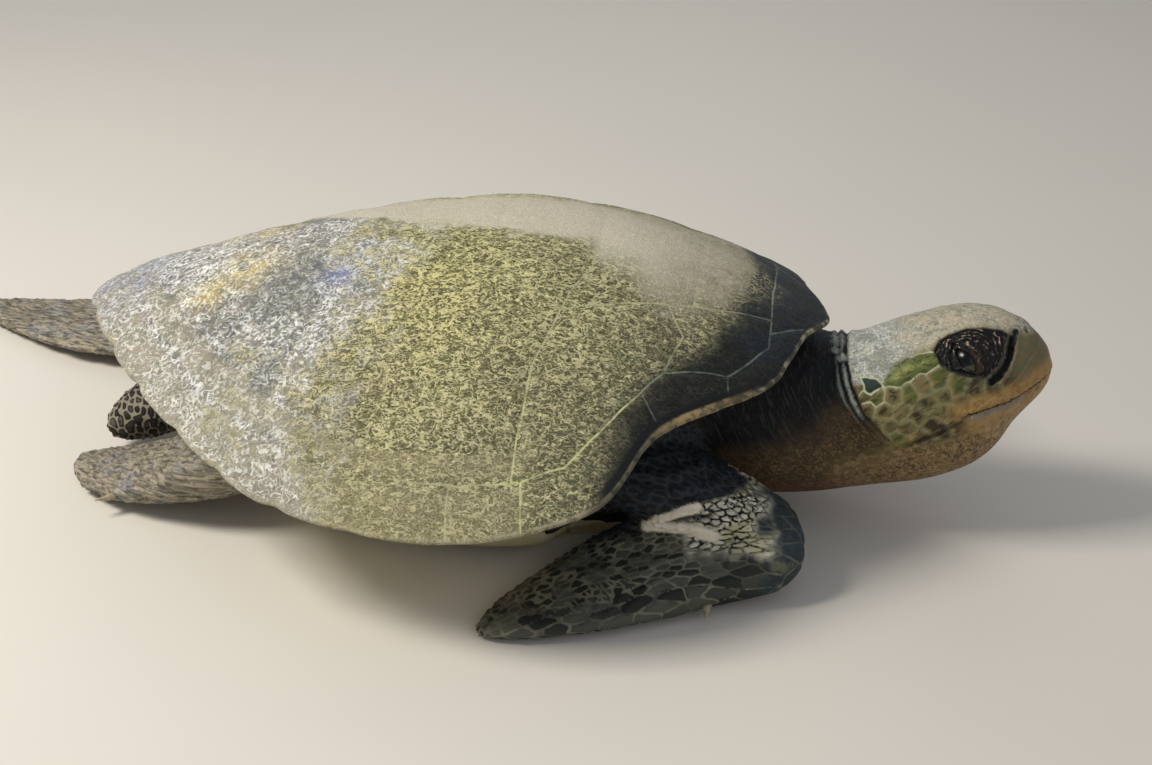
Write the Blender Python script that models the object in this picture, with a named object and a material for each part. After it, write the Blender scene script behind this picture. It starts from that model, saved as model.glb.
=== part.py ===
"""Olive ridley sea turtle lying on its belly, life size, as a still museum model.

Frame: +X runs from tail to head, +Y to the animal's left, +Z up, in metres.
The origin is the middle of the belly's resting flat, on the floor.

The shell is a dome over a closed rim, the belly a bowl under the same rim, and
the flesh fills the room between them. Neck, head and limbs are lofts through a
few named stations. Each flesh part that leaves the body is cut where the body
begins, so that neighbours meet with a thin gap and never overlap.
"""
import math

import bmesh
import bpy
from mathutils import Matrix, Vector

# ---------------------------------------------------------------- dimensions
GAP = 0.0004                    # between pieces that meet

# Shell: rim stations from the nape to the tail, as (x, half width, z)
RIM = (
    (0.336, 0.000, 0.188), (0.317, 0.048, 0.194), (0.303, 0.092, 0.188), (0.283, 0.130, 0.179),
    (0.205, 0.203, 0.169), (0.160, 0.272, 0.134), (0.046, 0.306, 0.113),
    (-0.093, 0.279, 0.113), (-0.192, 0.203, 0.124), (-0.267, 0.123, 0.138),
    (-0.315, 0.055, 0.148), (-0.336, 0.000, 0.145),
)
SHELL_CENTRE = Vector((0.040, 0.0))
SHELL_TOP = 0.251               # crown of the shell above the floor
SHELL_WALL = 0.012              # thickness at the crown
MARGIN_DEPTH = 0.034            # how far the margin's underside reaches inwards
MARGIN_EDGE = 0.007             # thickness of the margin at its edge
DOME_POWER = 2.05               # fullness of the dome's profile
DOME_LEAN = 0.30                # how much fuller the front is than the back
DOME_ROUND = 0.88
RIM_STEPS = 3                   # points per rim station

# Belly: a bowl whose flat middle is the resting face
FLAT_SIDE = 0.46                # flat share of the reach, sideways
FLAT_END = 0.78                 # the same, fore and aft
PLATE = 0.009                   # thickness of the belly shell
# Belly shell's outline as (x, half width), front to back
PLASTRON = (
    (0.240, 0.000), (0.228, 0.044), (0.188, 0.084), (0.142, 0.116),
    (0.110, 0.165), (0.090, 0.290), (-0.084, 0.280), (-0.104, 0.165),
    (-0.134, 0.112), (-0.185, 0.088), (-0.232, 0.062), (-0.258, 0.030),
    (-0.266, 0.000),
)

# Head: its own frame starts at the nape and is pitched up
HEAD_ORIGIN = Vector((0.365, 0.0, 0.125))
HEAD_PITCH = math.radians(18)
# Stations along the head as (x, level, half width, up, down) in that frame;
# level is the height of the widest line, up and down reach from it
HEAD = (
    (0.000, -0.027, 0.0620, 0.072, 0.068), (0.022, -0.027, 0.0655, 0.072, 0.069),
    (0.045, -0.026, 0.0670, 0.075, 0.071), (0.070, -0.023, 0.0645, 0.075, 0.072),
    (0.092, -0.020, 0.0590, 0.073, 0.070), (0.112, -0.016, 0.0525, 0.068, 0.062),
    (0.130, -0.012, 0.0455, 0.059, 0.0455), (0.145, -0.009, 0.0375, 0.048, 0.037),
    (0.157, -0.007, 0.0290, 0.035, 0.031), (0.166, -0.008, 0.0195, 0.022, 0.021),
    (0.172, -0.009, 0.0090, 0.010, 0.010),
)
# Neck stations as (x, z of the widest line, pitch in degrees, half width, up, down)
NECK = (
    (0.215, 0.100, 0, 0.078, 0.070, 0.072), (0.262, 0.097, 0, 0.083, 0.077, 0.075),
    (0.302, 0.094, 3, 0.081, 0.078, 0.073), (0.336, 0.093, 8, 0.074, 0.077, 0.068),
    (0.358, 0.095, 13, 0.066, 0.073, 0.066),
)
# Mouth line from the beak's tip back to the corner, (x, z) in the head's frame
MOUTH = (
    (0.200, -0.0150), (0.165, -0.0162), (0.150, -0.0176), (0.138, -0.0194),
    (0.127, -0.0202), (0.115, -0.0197), (0.096, -0.0195),
)
JAW_REAR = ((0.088, -0.0360), (0.078, -0.1200), (0.200, -0.1200))
BEAK_BROW = ((0.102, -0.0140), (0.128, -0.0080), (0.150, 0.0060), (0.164, 0.0140), (0.200, 0.0160))
EYE_RADIUS = 0.0175
EYE_PLACE = Vector((0.1030, 0.0305, 0.0190))   # left eye in the head's frame

# Limbs: stations as (x, outward y, z, half width, half thickness, tilt); the
# tilt, in degrees, is how far the outer edge is turned down
ARM = (
    (0.150, 0.105, 0.086, 0.044, 0.032, 0), (0.205, 0.124, 0.080, 0.046, 0.033, 0),
    (0.252, 0.130, 0.067, 0.042, 0.030, 0), (0.294, 0.133, 0.054, 0.034, 0.024, 0),
    (0.318, 0.140, 0.046, 0.020, 0.016, 0),
)
FRONT_BLADE = (
    (0.329, 0.142, 0.044, 0.012, 0.010, 34), (0.322, 0.144, 0.044, 0.030, 0.020, 34),
    (0.305, 0.147, 0.043, 0.043, 0.026, 34), (0.276, 0.153, 0.040, 0.048, 0.026, 33),
    (0.236, 0.167, 0.034, 0.050, 0.021, 27), (0.188, 0.194, 0.026, 0.049, 0.016, 18),
    (0.142, 0.225, 0.018, 0.041, 0.012, 10), (0.103, 0.251, 0.012, 0.028, 0.009, 4),
    (0.081, 0.266, 0.008, 0.014, 0.006, 0), (0.073, 0.271, 0.006, 0.005, 0.003, 0),
)
LEFT_FRONT_SHIFT = Vector((-0.045, 0.012, 0.0))
HIND_RIGHT = (
    (-0.140, 0.115, 0.072, 0.045, 0.034, 0), (-0.190, 0.126, 0.052, 0.043, 0.030, 0),
    (-0.228, 0.120, 0.036, 0.043, 0.023, 8), (-0.260, 0.108, 0.024, 0.045, 0.016, 8),
    (-0.290, 0.094, 0.015, 0.041, 0.011, 5), (-0.316, 0.080, 0.009, 0.028, 0.008, 2),
    (-0.332, 0.070, 0.006, 0.013, 0.005, 0), (-0.337, 0.067, 0.005, 0.005, 0.003, 0),
)
HIND_LEFT = (
    (-0.150, 0.112, 0.074, 0.045, 0.034, 0), (-0.210, 0.132, 0.052, 0.042, 0.029, 0),
    (-0.275, 0.148, 0.033, 0.043, 0.021, 0), (-0.340, 0.161, 0.023, 0.054, 0.015, 0),
    (-0.400, 0.174, 0.017, 0.060, 0.011, 0), (-0.458, 0.188, 0.012, 0.050, 0.009, 0),
    (-0.508, 0.201, 0.009, 0.034, 0.007, 0), (-0.546, 0.211, 0.007, 0.017, 0.005, 0),
    (-0.560, 0.214, 0.005, 0.006, 0.003, 0),
)
TAIL = (
    (-0.215, 0.000, 0.062, 0.036, 0.032, 0), (-0.255, 0.012, 0.050, 0.033, 0.030, 0),
    (-0.285, 0.026, 0.038, 0.028, 0.026, 0), (-0.306, 0.038, 0.027, 0.019, 0.018, 0),
    (-0.316, 0.044, 0.020, 0.007, 0.007, 0),
)

CLAW_LENGTH = 0.022
CLAW_RADIUS = 0.0042
CLAW_ROOT = 0.007               # how deep a claw sits in the flipper's edge

LIMB_SIDES = 16
LIMB_STEPS = 1                  # rings per limb station
HEAD_SIDES = 28


# ------------------------------------------------------------------- curves
def catmull(a, b, c, d, t):
    """Point at t between b and c on the smooth curve through four tuples."""
    return tuple(
        0.5 * (2 * q + (r - p) * t + (2 * p - 5 * q + 4 * r - s) * t * t
               + (3 * q - p - 3 * r + s) * t ** 3)
        for p, q, r, s in zip(a, b, c, d))


def smooth_run(stations, steps):
    """Open smooth curve through the stations, steps points per span."""
    last = len(stations) - 1
    run = []
    for i in range(last):
        four = [stations[min(max(k, 0), last)] for k in (i - 1, i, i + 1, i + 2)]
        run += [catmull(*four, step / steps) for step in range(steps)]
    return run + [tuple(map(float, stations[last]))]


def smooth_loop(stations, steps):
    """Closed smooth curve through the stations, steps points per span."""
    count = len(stations)
    loop = []
    for i in range(count):
        four = [stations[(i + k) % count] for k in (-1, 0, 1, 2)]
        loop += [catmull(*four, step / steps) for step in range(steps)]
    return loop


def mirrored(half):
    """Closed list of stations from those of one side, whose ends lie on the middle."""
    return list(half) + [(s[0], -s[1]) + tuple(s[2:]) for s in half[-2:0:-1]]


# ------------------------------------------------------------------- meshes
def material(name, colour, roughness):
    """Principled material from an sRGB hex colour."""
    made = bpy.data.materials.new(name)
    made.use_nodes = True
    shader = made.node_tree.nodes["Principled BSDF"]
    srgb = [int(colour[i:i + 2], 16) / 255 for i in (0, 2, 4)]
    linear = [c / 12.92 if c <= 0.04045 else ((c + 0.055) / 1.055) ** 2.4 for c in srgb]
    shader.inputs["Base Color"].default_value = (*linear, 1.0)
    shader.inputs["Roughness"].default_value = roughness
    return made


def add_object(name, shape, finish):
    """Object from a bmesh, whose faces are turned outwards and shaded smooth."""
    bmesh.ops.recalc_face_normals(shape, faces=shape.faces)
    mesh = bpy.data.meshes.new(name)
    shape.to_mesh(mesh)
    shape.free()
    mesh.shade_smooth()
    mesh.set_sharp_from_angle(angle=math.radians(40))
    mesh.materials.append(finish)
    made = bpy.data.objects.new(name, mesh)
    bpy.context.scene.collection.objects.link(made)
    return made


def add_cutter(name, shape):
    """Guide object that only shapes others and is no part of the model."""
    made = add_object(name, shape, FINISH["guide"])
    made.hide_render = True
    made.display_type = 'WIRE'
    return made


def boolean(target, cutter, operation):
    """Live Boolean of target with cutter."""
    change = target.modifiers.new(operation.title() + "_" + cutter.name, 'BOOLEAN')
    change.operation = operation
    change.solver = 'EXACT'
    change.object = cutter


def loft(rings):
    """Closed skin over a run of rings, with a cap on each end.

    Its triangles are laid the same way on every copy, so a piece and the room
    that is cut for it keep the same facets.
    """
    shape = bmesh.new()
    layers = [[shape.verts.new(point) for point in ring] for ring in rings]
    for low, high in zip(layers, layers[1:]):
        for i in range(len(low)):
            j = (i + 1) % len(low)
            shape.faces.new((low[i], low[j], high[j]))
            shape.faces.new((low[i], high[j], high[i]))
    for layer in (layers[0], layers[-1]):
        middle = sum((vert.co for vert in layer), Vector()) / len(layer)
        hub = shape.verts.new(middle)
        for i in range(len(layer)):
            shape.faces.new((layer[i - 1], layer[i], hub))
    return shape


def prism(outline, to_world, low, high):
    """Flat outline of (a, b) pairs, swept between two values of the third axis."""
    shape = bmesh.new()
    face = shape.faces.new([shape.verts.new(to_world(a, b, low)) for a, b in outline])
    swept = bmesh.ops.extrude_face_region(shape, geom=[face])
    moved = [v for v in swept["geom"] if isinstance(v, bmesh.types.BMVert)]
    a, b = outline[0]
    bmesh.ops.translate(shape, verts=moved, vec=to_world(a, b, high) - to_world(a, b, low))
    return shape


# -------------------------------------------------------------- shell, belly
def rim_loop(inset, drop):
    """The rim's points moved inwards by inset and down by drop."""
    loop = []
    for x, y, z in smooth_loop(mirrored(RIM), RIM_STEPS):
        arm = Vector((x, y)) - SHELL_CENTRE
        arm *= 1 - inset / arm.length
        loop.append(Vector((*(SHELL_CENTRE + arm), z - drop)))
    return loop


def evened(loop, rounds=30):
    """The loop with its corners rounded off, for the dome's upper part."""
    for _ in range(rounds):
        loop = [(loop[i - 1] + 2 * loop[i] + loop[(i + 1) % len(loop)]) / 4
                for i in range(len(loop))]
    return loop


def dome_rings(loop, top, shares):
    """Rings of the dome over a rim loop, at shares of the way out to the rim."""
    even = evened(loop)
    centre = Vector((*SHELL_CENTRE, 0.0))
    rings = []
    for share in shares:
        near_rim = share ** 6
        ring = []
        for rim, soft in zip(loop, even):
            lean = math.atan2(soft.y, soft.x - centre.x)
            power = DOME_POWER + DOME_LEAN * math.cos(lean)
            rise = (1 - share ** power) ** DOME_ROUND
            point = centre + (soft - centre) * share + (rim - soft) * near_rim
            point.z = soft.z + (top - soft.z) * rise + (rim.z - soft.z) * near_rim
            ring.append(point)
        rings.append(ring)
    return rings


def belly_rings(loop, lift, shares):
    """Rings of the belly bowl under a loop, from its flat middle out to the loop."""
    rings = []
    for share in shares:
        ring = []
        for rim in loop:
            arm = rim.xy - SHELL_CENTRE
            along = (arm.x / arm.length) ** 2
            flat = FLAT_SIDE + (FLAT_END - FLAT_SIDE) * along
            place = SHELL_CENTRE + arm * (flat + (1 - flat) * share)
            rise = share * share * (3 - 2 * share)
            ring.append(Vector((*place, rise * (rim.z - lift) + lift)))
        rings.append(ring)
    return rings


DOME_SHARES = (0.10, 0.25, 0.40, 0.54, 0.67, 0.78, 0.87, 0.94, 0.98, 1.0)
INNER_SHARES = (1.0, 0.94, 0.82, 0.62, 0.36, 0.12)
BELLY_SHARES = (0.0, 0.25, 0.5, 0.75, 1.0)


def carapace_shape():
    """Upper shell: a dome with a wedge-shaped margin, hollow for the body."""
    outer = dome_rings(rim_loop(0.0, 0.0), SHELL_TOP, DOME_SHARES)
    lip = [rim_loop(0.002, MARGIN_EDGE)]
    inner = dome_rings(rim_loop(MARGIN_DEPTH, MARGIN_EDGE), SHELL_TOP - SHELL_WALL, INNER_SHARES)
    return loft(inner[::-1] + lip + outer[::-1])


def body_shape(grow):
    """Body between the shell and the belly shell, grown for clearance cuts."""
    inset = MARGIN_DEPTH + 2 * GAP - grow
    top = SHELL_TOP - SHELL_WALL - 2 * GAP + grow
    upper = dome_rings(rim_loop(inset, MARGIN_EDGE + 2 * GAP - grow), top, INNER_SHARES)
    floor = PLATE + GAP - grow
    lower = belly_rings(rim_loop(inset, MARGIN_EDGE + 2 * GAP + 0.001 + grow), floor, BELLY_SHARES)
    return loft(upper[::-1] + lower[::-1])


def belly_slab_shape(grow):
    """Whole bowl under the body, from which the belly shell is cut."""
    inset = MARGIN_DEPTH + 2 * GAP - grow
    edge = MARGIN_EDGE + 2 * GAP + 0.001 + GAP - grow
    upper = belly_rings(rim_loop(inset, edge), PLATE + grow, BELLY_SHARES)
    lower = belly_rings(rim_loop(inset, edge + PLATE + 2 * grow), -grow, BELLY_SHARES)
    return loft(lower + upper[::-1])


def plastron_prism(grow):
    """Upright block on the belly shell's plan outline, with its two side bridges."""
    outline = [Vector(pair) for pair in smooth_loop(mirrored(PLASTRON), 3)]
    outline = [place * (1 + 2 * grow / place.length) for place in outline]
    return prism(outline, lambda a, b, c: Vector((a, b, c)), -0.02, 0.20)


# --------------------------------------------------------------- head, neck
def head_point(x, y, z):
    """World place of a point in the head's frame."""
    turned = Matrix.Rotation(-HEAD_PITCH, 3, 'Y') @ Vector((x, y, z))
    return HEAD_ORIGIN + turned


def head_stations():
    """Head stations in the same form as the neck's."""
    stations = []
    for x, level, wide, up, down in HEAD:
        centre = head_point(x, 0.0, level)
        stations.append((centre.x, centre.z, math.degrees(HEAD_PITCH), wide, up, down))
    return stations


def section(station, squareness):
    """Ring of one neck or head station, a rounded egg across the body."""
    x, z, pitch, wide, up, down = station
    lean = math.radians(pitch)
    upward = Vector((-math.sin(lean), 0.0, math.cos(lean)))
    ring = []
    for i in range(HEAD_SIDES):
        turn = 2 * math.pi * i / HEAD_SIDES
        across = math.copysign(abs(math.cos(turn)) ** (2 / squareness), math.cos(turn))
        height = math.copysign(abs(math.sin(turn)) ** (2 / squareness), math.sin(turn))
        reach = up if height > 0 else down
        ring.append(Vector((x, across * wide, z)) + upward * height * reach)
    return ring


def head_shape():
    """Whole head, from the nape to the beak's tip."""
    return loft([section(s, 2.15) for s in smooth_run(head_stations(), 1)])


def neck_shape():
    """Neck from inside the body up to the head's first station."""
    meets = list(head_stations()[0])
    meets[0] -= GAP * math.cos(HEAD_PITCH)
    meets[1] -= GAP * math.sin(HEAD_PITCH)
    run = smooth_run(NECK + (tuple(meets),), 1)
    return loft([section(s, 2.15) for s in run])


def side_prism(outline):
    """Block across the head whose side view is the outline, in the head's frame."""
    return prism(outline, lambda a, b, c: head_point(a, c, b), -0.09, 0.09)


def shifted(outline, up):
    """The outline moved up or down in the head's frame."""
    return [(x, z + up) for x, z in outline]


# -------------------------------------------------------------------- limbs
def limb_rings(stations, side, grow, sides):
    """Rings across a limb whose stations are given for the right-hand side."""
    run = smooth_run(stations, LIMB_STEPS)
    places = [Vector((s[0], s[1] * side, s[2])) for s in run]
    rings = []
    for i, station in enumerate(run):
        before = places[max(i - 1, 0)]
        after = places[min(i + 1, len(run) - 1)]
        along = (after - before).normalized()
        across = Vector((0, 0, 1)).cross(along).normalized()
        upward = along.cross(across)
        outward = 1 if across.y * side > 0 else -1
        turn = -math.radians(station[5]) * outward
        wide = across * math.cos(turn) + upward * math.sin(turn)
        thick = upward * math.cos(turn) - across * math.sin(turn)
        ring = []
        for k in range(sides):
            angle = 2 * math.pi * k / sides
            point = (places[i] + wide * math.cos(angle) * (station[3] + grow)
                     + thick * math.sin(angle) * (station[4] + grow))
            point.z = max(point.z, 0.0)
            ring.append(point)
        rings.append(ring)
    return rings


def limb_shape(stations, side, grow=0.0, sides=LIMB_SIDES):
    """Closed limb, which lies flat where it meets the floor."""
    return loft(limb_rings(stations, side, grow, sides))


def moved(stations, shift):
    """Stations moved by a shift, whose y is outwards."""
    return tuple((s[0] + shift.x, s[1] + shift.y, s[2] + shift.z) + s[3:] for s in stations)


def claw_shape(stations, index, side, grow):
    """Horn claw that leans back out of a limb's outer edge at one station."""
    x, y, z, wide, _, tilt = stations[index]
    before, after = Vector(stations[index - 1][:2]), Vector(stations[index + 1][:2])
    along = (after - before).normalized()
    outward = Vector((along.y, -along.x)) * math.copysign(1, -along.x)
    plan = (outward * 0.86 + along * 0.50).normalized()
    heading = Vector((plan.x, plan.y * side, -0.06)).normalized()
    lean = math.radians(tilt)
    edge = Vector((x + outward.x * wide * math.cos(lean),
                   side * (y + outward.y * wide * math.cos(lean)), z - wide * math.sin(lean)))
    middle = edge + heading * (CLAW_LENGTH / 2 - CLAW_ROOT)
    middle.z = max(middle.z, CLAW_RADIUS + GAP)
    turn = Vector((0, 0, 1)).rotation_difference(heading).to_matrix().to_4x4()
    shape = bmesh.new()
    bmesh.ops.create_cone(
        shape, cap_ends=True, segments=10, radius1=CLAW_RADIUS + grow, radius2=0.0008 + grow,
        depth=CLAW_LENGTH + 2 * grow, matrix=Matrix.Translation(middle) @ turn)
    return shape


# -------------------------------------------------------------------- build
def clear_scene():
    """Empty the scene of whatever it starts with."""
    for thing in list(bpy.data.objects):
        bpy.data.objects.remove(thing, do_unlink=True)


def build_shell():
    """Upper shell, belly shell and the body between them."""
    add_object("carapace", carapace_shape(), FINISH["shell"])
    plastron = add_object("plastron", belly_slab_shape(0.0), FINISH["belly"])
    boolean(plastron, add_cutter("plastron_outline", plastron_prism(0.0)), 'INTERSECT')
    add_object("trunk", body_shape(0.0), FINISH["skin"])


def body_rooms():
    """Cutters that keep a limb clear of the body and of the belly shell."""
    plate_room = add_cutter("plate_room", belly_slab_shape(GAP))
    boolean(plate_room, add_cutter("plate_room_outline", plastron_prism(GAP)), 'INTERSECT')
    return add_cutter("body_room", body_shape(GAP)), plate_room


def cut_clear(piece, rooms):
    """Cut the body's and the belly shell's room out of a piece that leaves them."""
    for room in rooms:
        boolean(piece, room, 'DIFFERENCE')


def build_head(rooms):
    """Neck, head with eye sockets, two horn jaws and the eyes."""
    neck = add_object("neck", neck_shape(), FINISH["skin"])
    cut_clear(neck, rooms)
    head = add_object("head", head_shape(), FINISH["head"])
    lower = add_object("beak_lower", head_shape(), FINISH["horn"])
    upper = add_object("beak_upper", head_shape(), FINISH["horn"])
    jaw_line = list(MOUTH) + list(JAW_REAR)
    brow_line = list(MOUTH) + list(BEAK_BROW)
    boolean(lower, add_cutter("jaw_block", side_prism(shifted(jaw_line, -GAP))), 'INTERSECT')
    boolean(upper, add_cutter("beak_block", side_prism(brow_line)), 'INTERSECT')
    rear = [(x - GAP, z) for x, z in JAW_REAR]
    brow = [(x - GAP, z + GAP) for x, z in BEAK_BROW]
    mouth_end = (MOUTH[-1][0] - GAP, MOUTH[-1][1])
    face = [(JAW_REAR[-1][0], JAW_REAR[-1][1])] + rear[1::-1] + [mouth_end] + brow
    boolean(head, add_cutter("face_block", side_prism(face)), 'DIFFERENCE')
    for name, side in (("left", 1), ("right", -1)):
        place = Matrix.Translation(head_point(EYE_PLACE.x, EYE_PLACE.y * side, EYE_PLACE.z))
        ball = bmesh.new()
        bmesh.ops.create_uvsphere(ball, u_segments=12, v_segments=8, radius=EYE_RADIUS, matrix=place)
        add_object("eye_" + name, ball, FINISH["eye"])
        socket = bmesh.new()
        bmesh.ops.create_uvsphere(socket, u_segments=12, v_segments=8,
                                  radius=EYE_RADIUS + 2 * GAP, matrix=place)
        boolean(head, add_cutter("socket_" + name, socket), 'DIFFERENCE')


def build_front_limb(name, side, shift, rooms):
    """Upper arm, flipper blade and claw of one side."""
    upper_arm, blade_run = moved(ARM, shift), moved(FRONT_BLADE, shift)
    arm = add_object("arm_" + name, limb_shape(upper_arm, side), FINISH["skin"])
    cut_clear(arm, rooms)
    boolean(arm, add_cutter("blade_room_" + name, limb_shape(blade_run, side, 2 * GAP)), 'DIFFERENCE')
    blade = add_object("flipper_front_" + name, limb_shape(blade_run, side), FINISH["skin"])
    add_claw("front_" + name, blade, blade_run, 4, side)


def add_claw(name, blade, stations, index, side):
    """Claw in a socket of the blade's outer edge."""
    add_object("claw_" + name, claw_shape(stations, index, side, 0.0), FINISH["claw"])
    room = add_cutter("claw_room_" + name, claw_shape(stations, index, side, GAP))
    boolean(blade, room, 'DIFFERENCE')


def build_hind_limb(name, stations, side, rooms):
    """Hind flipper of one side with its claw."""
    blade = add_object("flipper_hind_" + name, limb_shape(stations, side), FINISH["skin"])
    cut_clear(blade, rooms)
    add_claw("hind_" + name, blade, stations, 3, side)


clear_scene()
FINISH = {
    "shell": material("carapace_horn", "6E6F55", 0.62),
    "belly": material("plastron_horn", "C9BF95", 0.60),
    "skin": material("scaled_skin", "4B4B43", 0.70),
    "head": material("head_shields", "8B8A6E", 0.55),
    "horn": material("beak_horn", "B89D62", 0.45),
    "claw": material("claw_horn", "B7AC8C", 0.45),
    "eye": material("eye", "16120F", 0.12),
    "guide": material("guide", "FFFFFF", 1.0),
}
build_shell()
ROOMS = body_rooms()
build_head(ROOMS)
build_front_limb("right", -1, Vector((0.0, 0.0, 0.0)), ROOMS)
build_front_limb("left", 1, LEFT_FRONT_SHIFT, ROOMS)
build_hind_limb("right", HIND_RIGHT, -1, ROOMS)
build_hind_limb("left", HIND_LEFT, 1, ROOMS)
tail = add_object("tail", limb_shape(TAIL, -1, sides=14), FINISH["skin"])
cut_clear(tail, ROOMS)
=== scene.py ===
"""Looks of a life-size olive ridley sea turtle, laid out as a Blender add-on.

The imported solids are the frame. The script dresses them: a shell of horn scutes,
one skin over head, neck, trunk, limbs and tail, two horn jaws, eyes, claws and
the belly shell. All lengths are metres, +X to the head, +Y to the animal's left.
"""

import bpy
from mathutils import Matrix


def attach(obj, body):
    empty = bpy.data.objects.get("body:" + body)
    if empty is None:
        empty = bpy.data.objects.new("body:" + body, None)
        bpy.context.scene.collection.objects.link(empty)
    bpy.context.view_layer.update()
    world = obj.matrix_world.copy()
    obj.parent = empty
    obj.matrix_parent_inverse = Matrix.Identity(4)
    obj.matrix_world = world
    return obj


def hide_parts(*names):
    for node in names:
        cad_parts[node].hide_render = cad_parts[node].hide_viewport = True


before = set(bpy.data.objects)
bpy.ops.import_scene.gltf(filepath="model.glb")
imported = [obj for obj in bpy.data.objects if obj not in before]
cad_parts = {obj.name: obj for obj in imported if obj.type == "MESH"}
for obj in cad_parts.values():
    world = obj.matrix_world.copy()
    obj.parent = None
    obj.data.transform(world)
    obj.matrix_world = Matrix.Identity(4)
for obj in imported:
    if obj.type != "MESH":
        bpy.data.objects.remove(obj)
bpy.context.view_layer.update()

import math
from itertools import product
from types import SimpleNamespace

import bmesh
import bpy
import numpy as np
from bpy.props import FloatProperty, FloatVectorProperty, IntProperty, PointerProperty
from mathutils import Matrix, Vector, noise
from mathutils.kdtree import KDTree

bl_info = {
    "name": "Olive ridley sea turtle",
    "version": (1, 0, 0),
    "blender": (4, 5, 0),
    "location": "3D Viewport > Sidebar > Turtle",
    "description": "Models the shell, skin, jaws, eyes and claws of a still sea turtle",
    "category": "Object",
}

BODY = "root"
FLOOR_CLOUD = (0.50, 0.48, 0.44)
LAMP_TARGET = (0.05, 0.0, 0.1)

# ------------------------------------------------------------- driving sizes
# Shell: rim stations from the nape to the tail, as (x, half width, z)
RIM = (
    (0.336, 0.000, 0.188), (0.317, 0.048, 0.194), (0.303, 0.092, 0.188), (0.283, 0.130, 0.179),
    (0.205, 0.203, 0.169), (0.160, 0.272, 0.134), (0.046, 0.306, 0.113),
    (-0.093, 0.279, 0.113), (-0.192, 0.203, 0.124), (-0.267, 0.123, 0.138),
    (-0.315, 0.055, 0.148), (-0.336, 0.000, 0.145),
)
RIM_LOOP = RIM + tuple((x, -y, z) for x, y, z in RIM[-2:0:-1])
SHELL_CENTRE = np.array((0.040, 0.0))
SHELL_TOP = 0.251
SHELL_WALL = 0.012
MARGIN_DEPTH = 0.034            # how far the margin's underside reaches inwards
MARGIN_EDGE = 0.007             # thickness of the margin at its edge
DOME_POWER = 2.05               # fullness of the dome's profile
DOME_LEAN = 0.30                # how much fuller the front is than the back
DOME_ROUND = 0.88
FLAT_SIDE = 0.46                # flat share of the belly's reach, sideways
FLAT_END = 0.78                 # the same, fore and aft
PLATE = 0.009                   # thickness of the belly shell
PLASTRON = (
    (0.240, 0.000), (0.228, 0.044), (0.188, 0.084), (0.142, 0.116),
    (0.110, 0.165), (0.090, 0.290), (-0.084, 0.280), (-0.104, 0.165),
    (-0.134, 0.112), (-0.185, 0.088), (-0.232, 0.062), (-0.258, 0.030),
    (-0.266, 0.000),
)

# Seams between the scutes of one side, in plan, as (x, distance from the middle)
MARGIN_SEAM = (
    (0.287, 0.000), (0.287, 0.088), (0.270, 0.111), (0.254, 0.133), (0.222, 0.142),
    (0.202, 0.151), (0.187, 0.176), (0.159, 0.217), (0.136, 0.246), (0.102, 0.263),
    (0.057, 0.270), (-0.015, 0.266), (-0.086, 0.243), (-0.140, 0.206), (-0.197, 0.158),
    (-0.243, 0.103), (-0.277, 0.052), (-0.290, 0.000),
)
KEEL_SEAM = (
    (0.287, 0.052), (0.245, 0.066), (0.192, 0.082), (0.111, 0.117), (0.062, 0.078),
    (0.018, 0.070), (-0.012, 0.092), (-0.048, 0.066), (-0.083, 0.074), (-0.120, 0.052),
    (-0.160, 0.064), (-0.200, 0.043), (-0.232, 0.050), (-0.262, 0.030), (-0.286, 0.036),
)
CROSS_SEAMS = (
    ((0.202, 0.151), (0.213, 0.110), (0.200, 0.080)),
    ((0.095, 0.263), (0.097, 0.174), (0.108, 0.128), (0.111, 0.117)),
    ((-0.029, 0.262), (-0.024, 0.231), (-0.018, 0.150), (-0.012, 0.092)),
    ((-0.118, 0.221), (-0.105, 0.142), (-0.089, 0.082), (-0.083, 0.074)),
    ((-0.190, 0.164), (-0.172, 0.108), (-0.160, 0.064)),
    ((-0.250, 0.094), (-0.238, 0.066), (-0.232, 0.050)),
    ((0.222, 0.000), (0.219, 0.073)),
    ((0.131, 0.000), (0.129, 0.060), (0.111, 0.117)),
    ((0.040, 0.000), (0.042, 0.074)),
    ((-0.030, 0.000), (-0.034, 0.076)),
    ((-0.104, 0.000), (-0.103, 0.062)),
    ((-0.178, 0.000), (-0.180, 0.054)),
    ((-0.248, 0.000), (-0.247, 0.040)),
)
MARGIN_JOINTS = (
    ((0.287, 0.070), (0.312, 0.046)), ((0.254, 0.133), (0.262, 0.166)),
    ((0.187, 0.176), (0.212, 0.212)), ((0.102, 0.263), (0.113, 0.305)),
    ((0.050, 0.270), (0.052, 0.320)), ((-0.019, 0.266), (-0.024, 0.315)),
    ((-0.080, 0.246), (-0.094, 0.296)), ((-0.130, 0.213), (-0.156, 0.255)),
    ((-0.180, 0.173), (-0.212, 0.212)), ((-0.226, 0.124), (-0.262, 0.158)),
    ((-0.262, 0.078), (-0.305, 0.105)), ((-0.285, 0.030), (-0.338, 0.044)),
)

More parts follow.
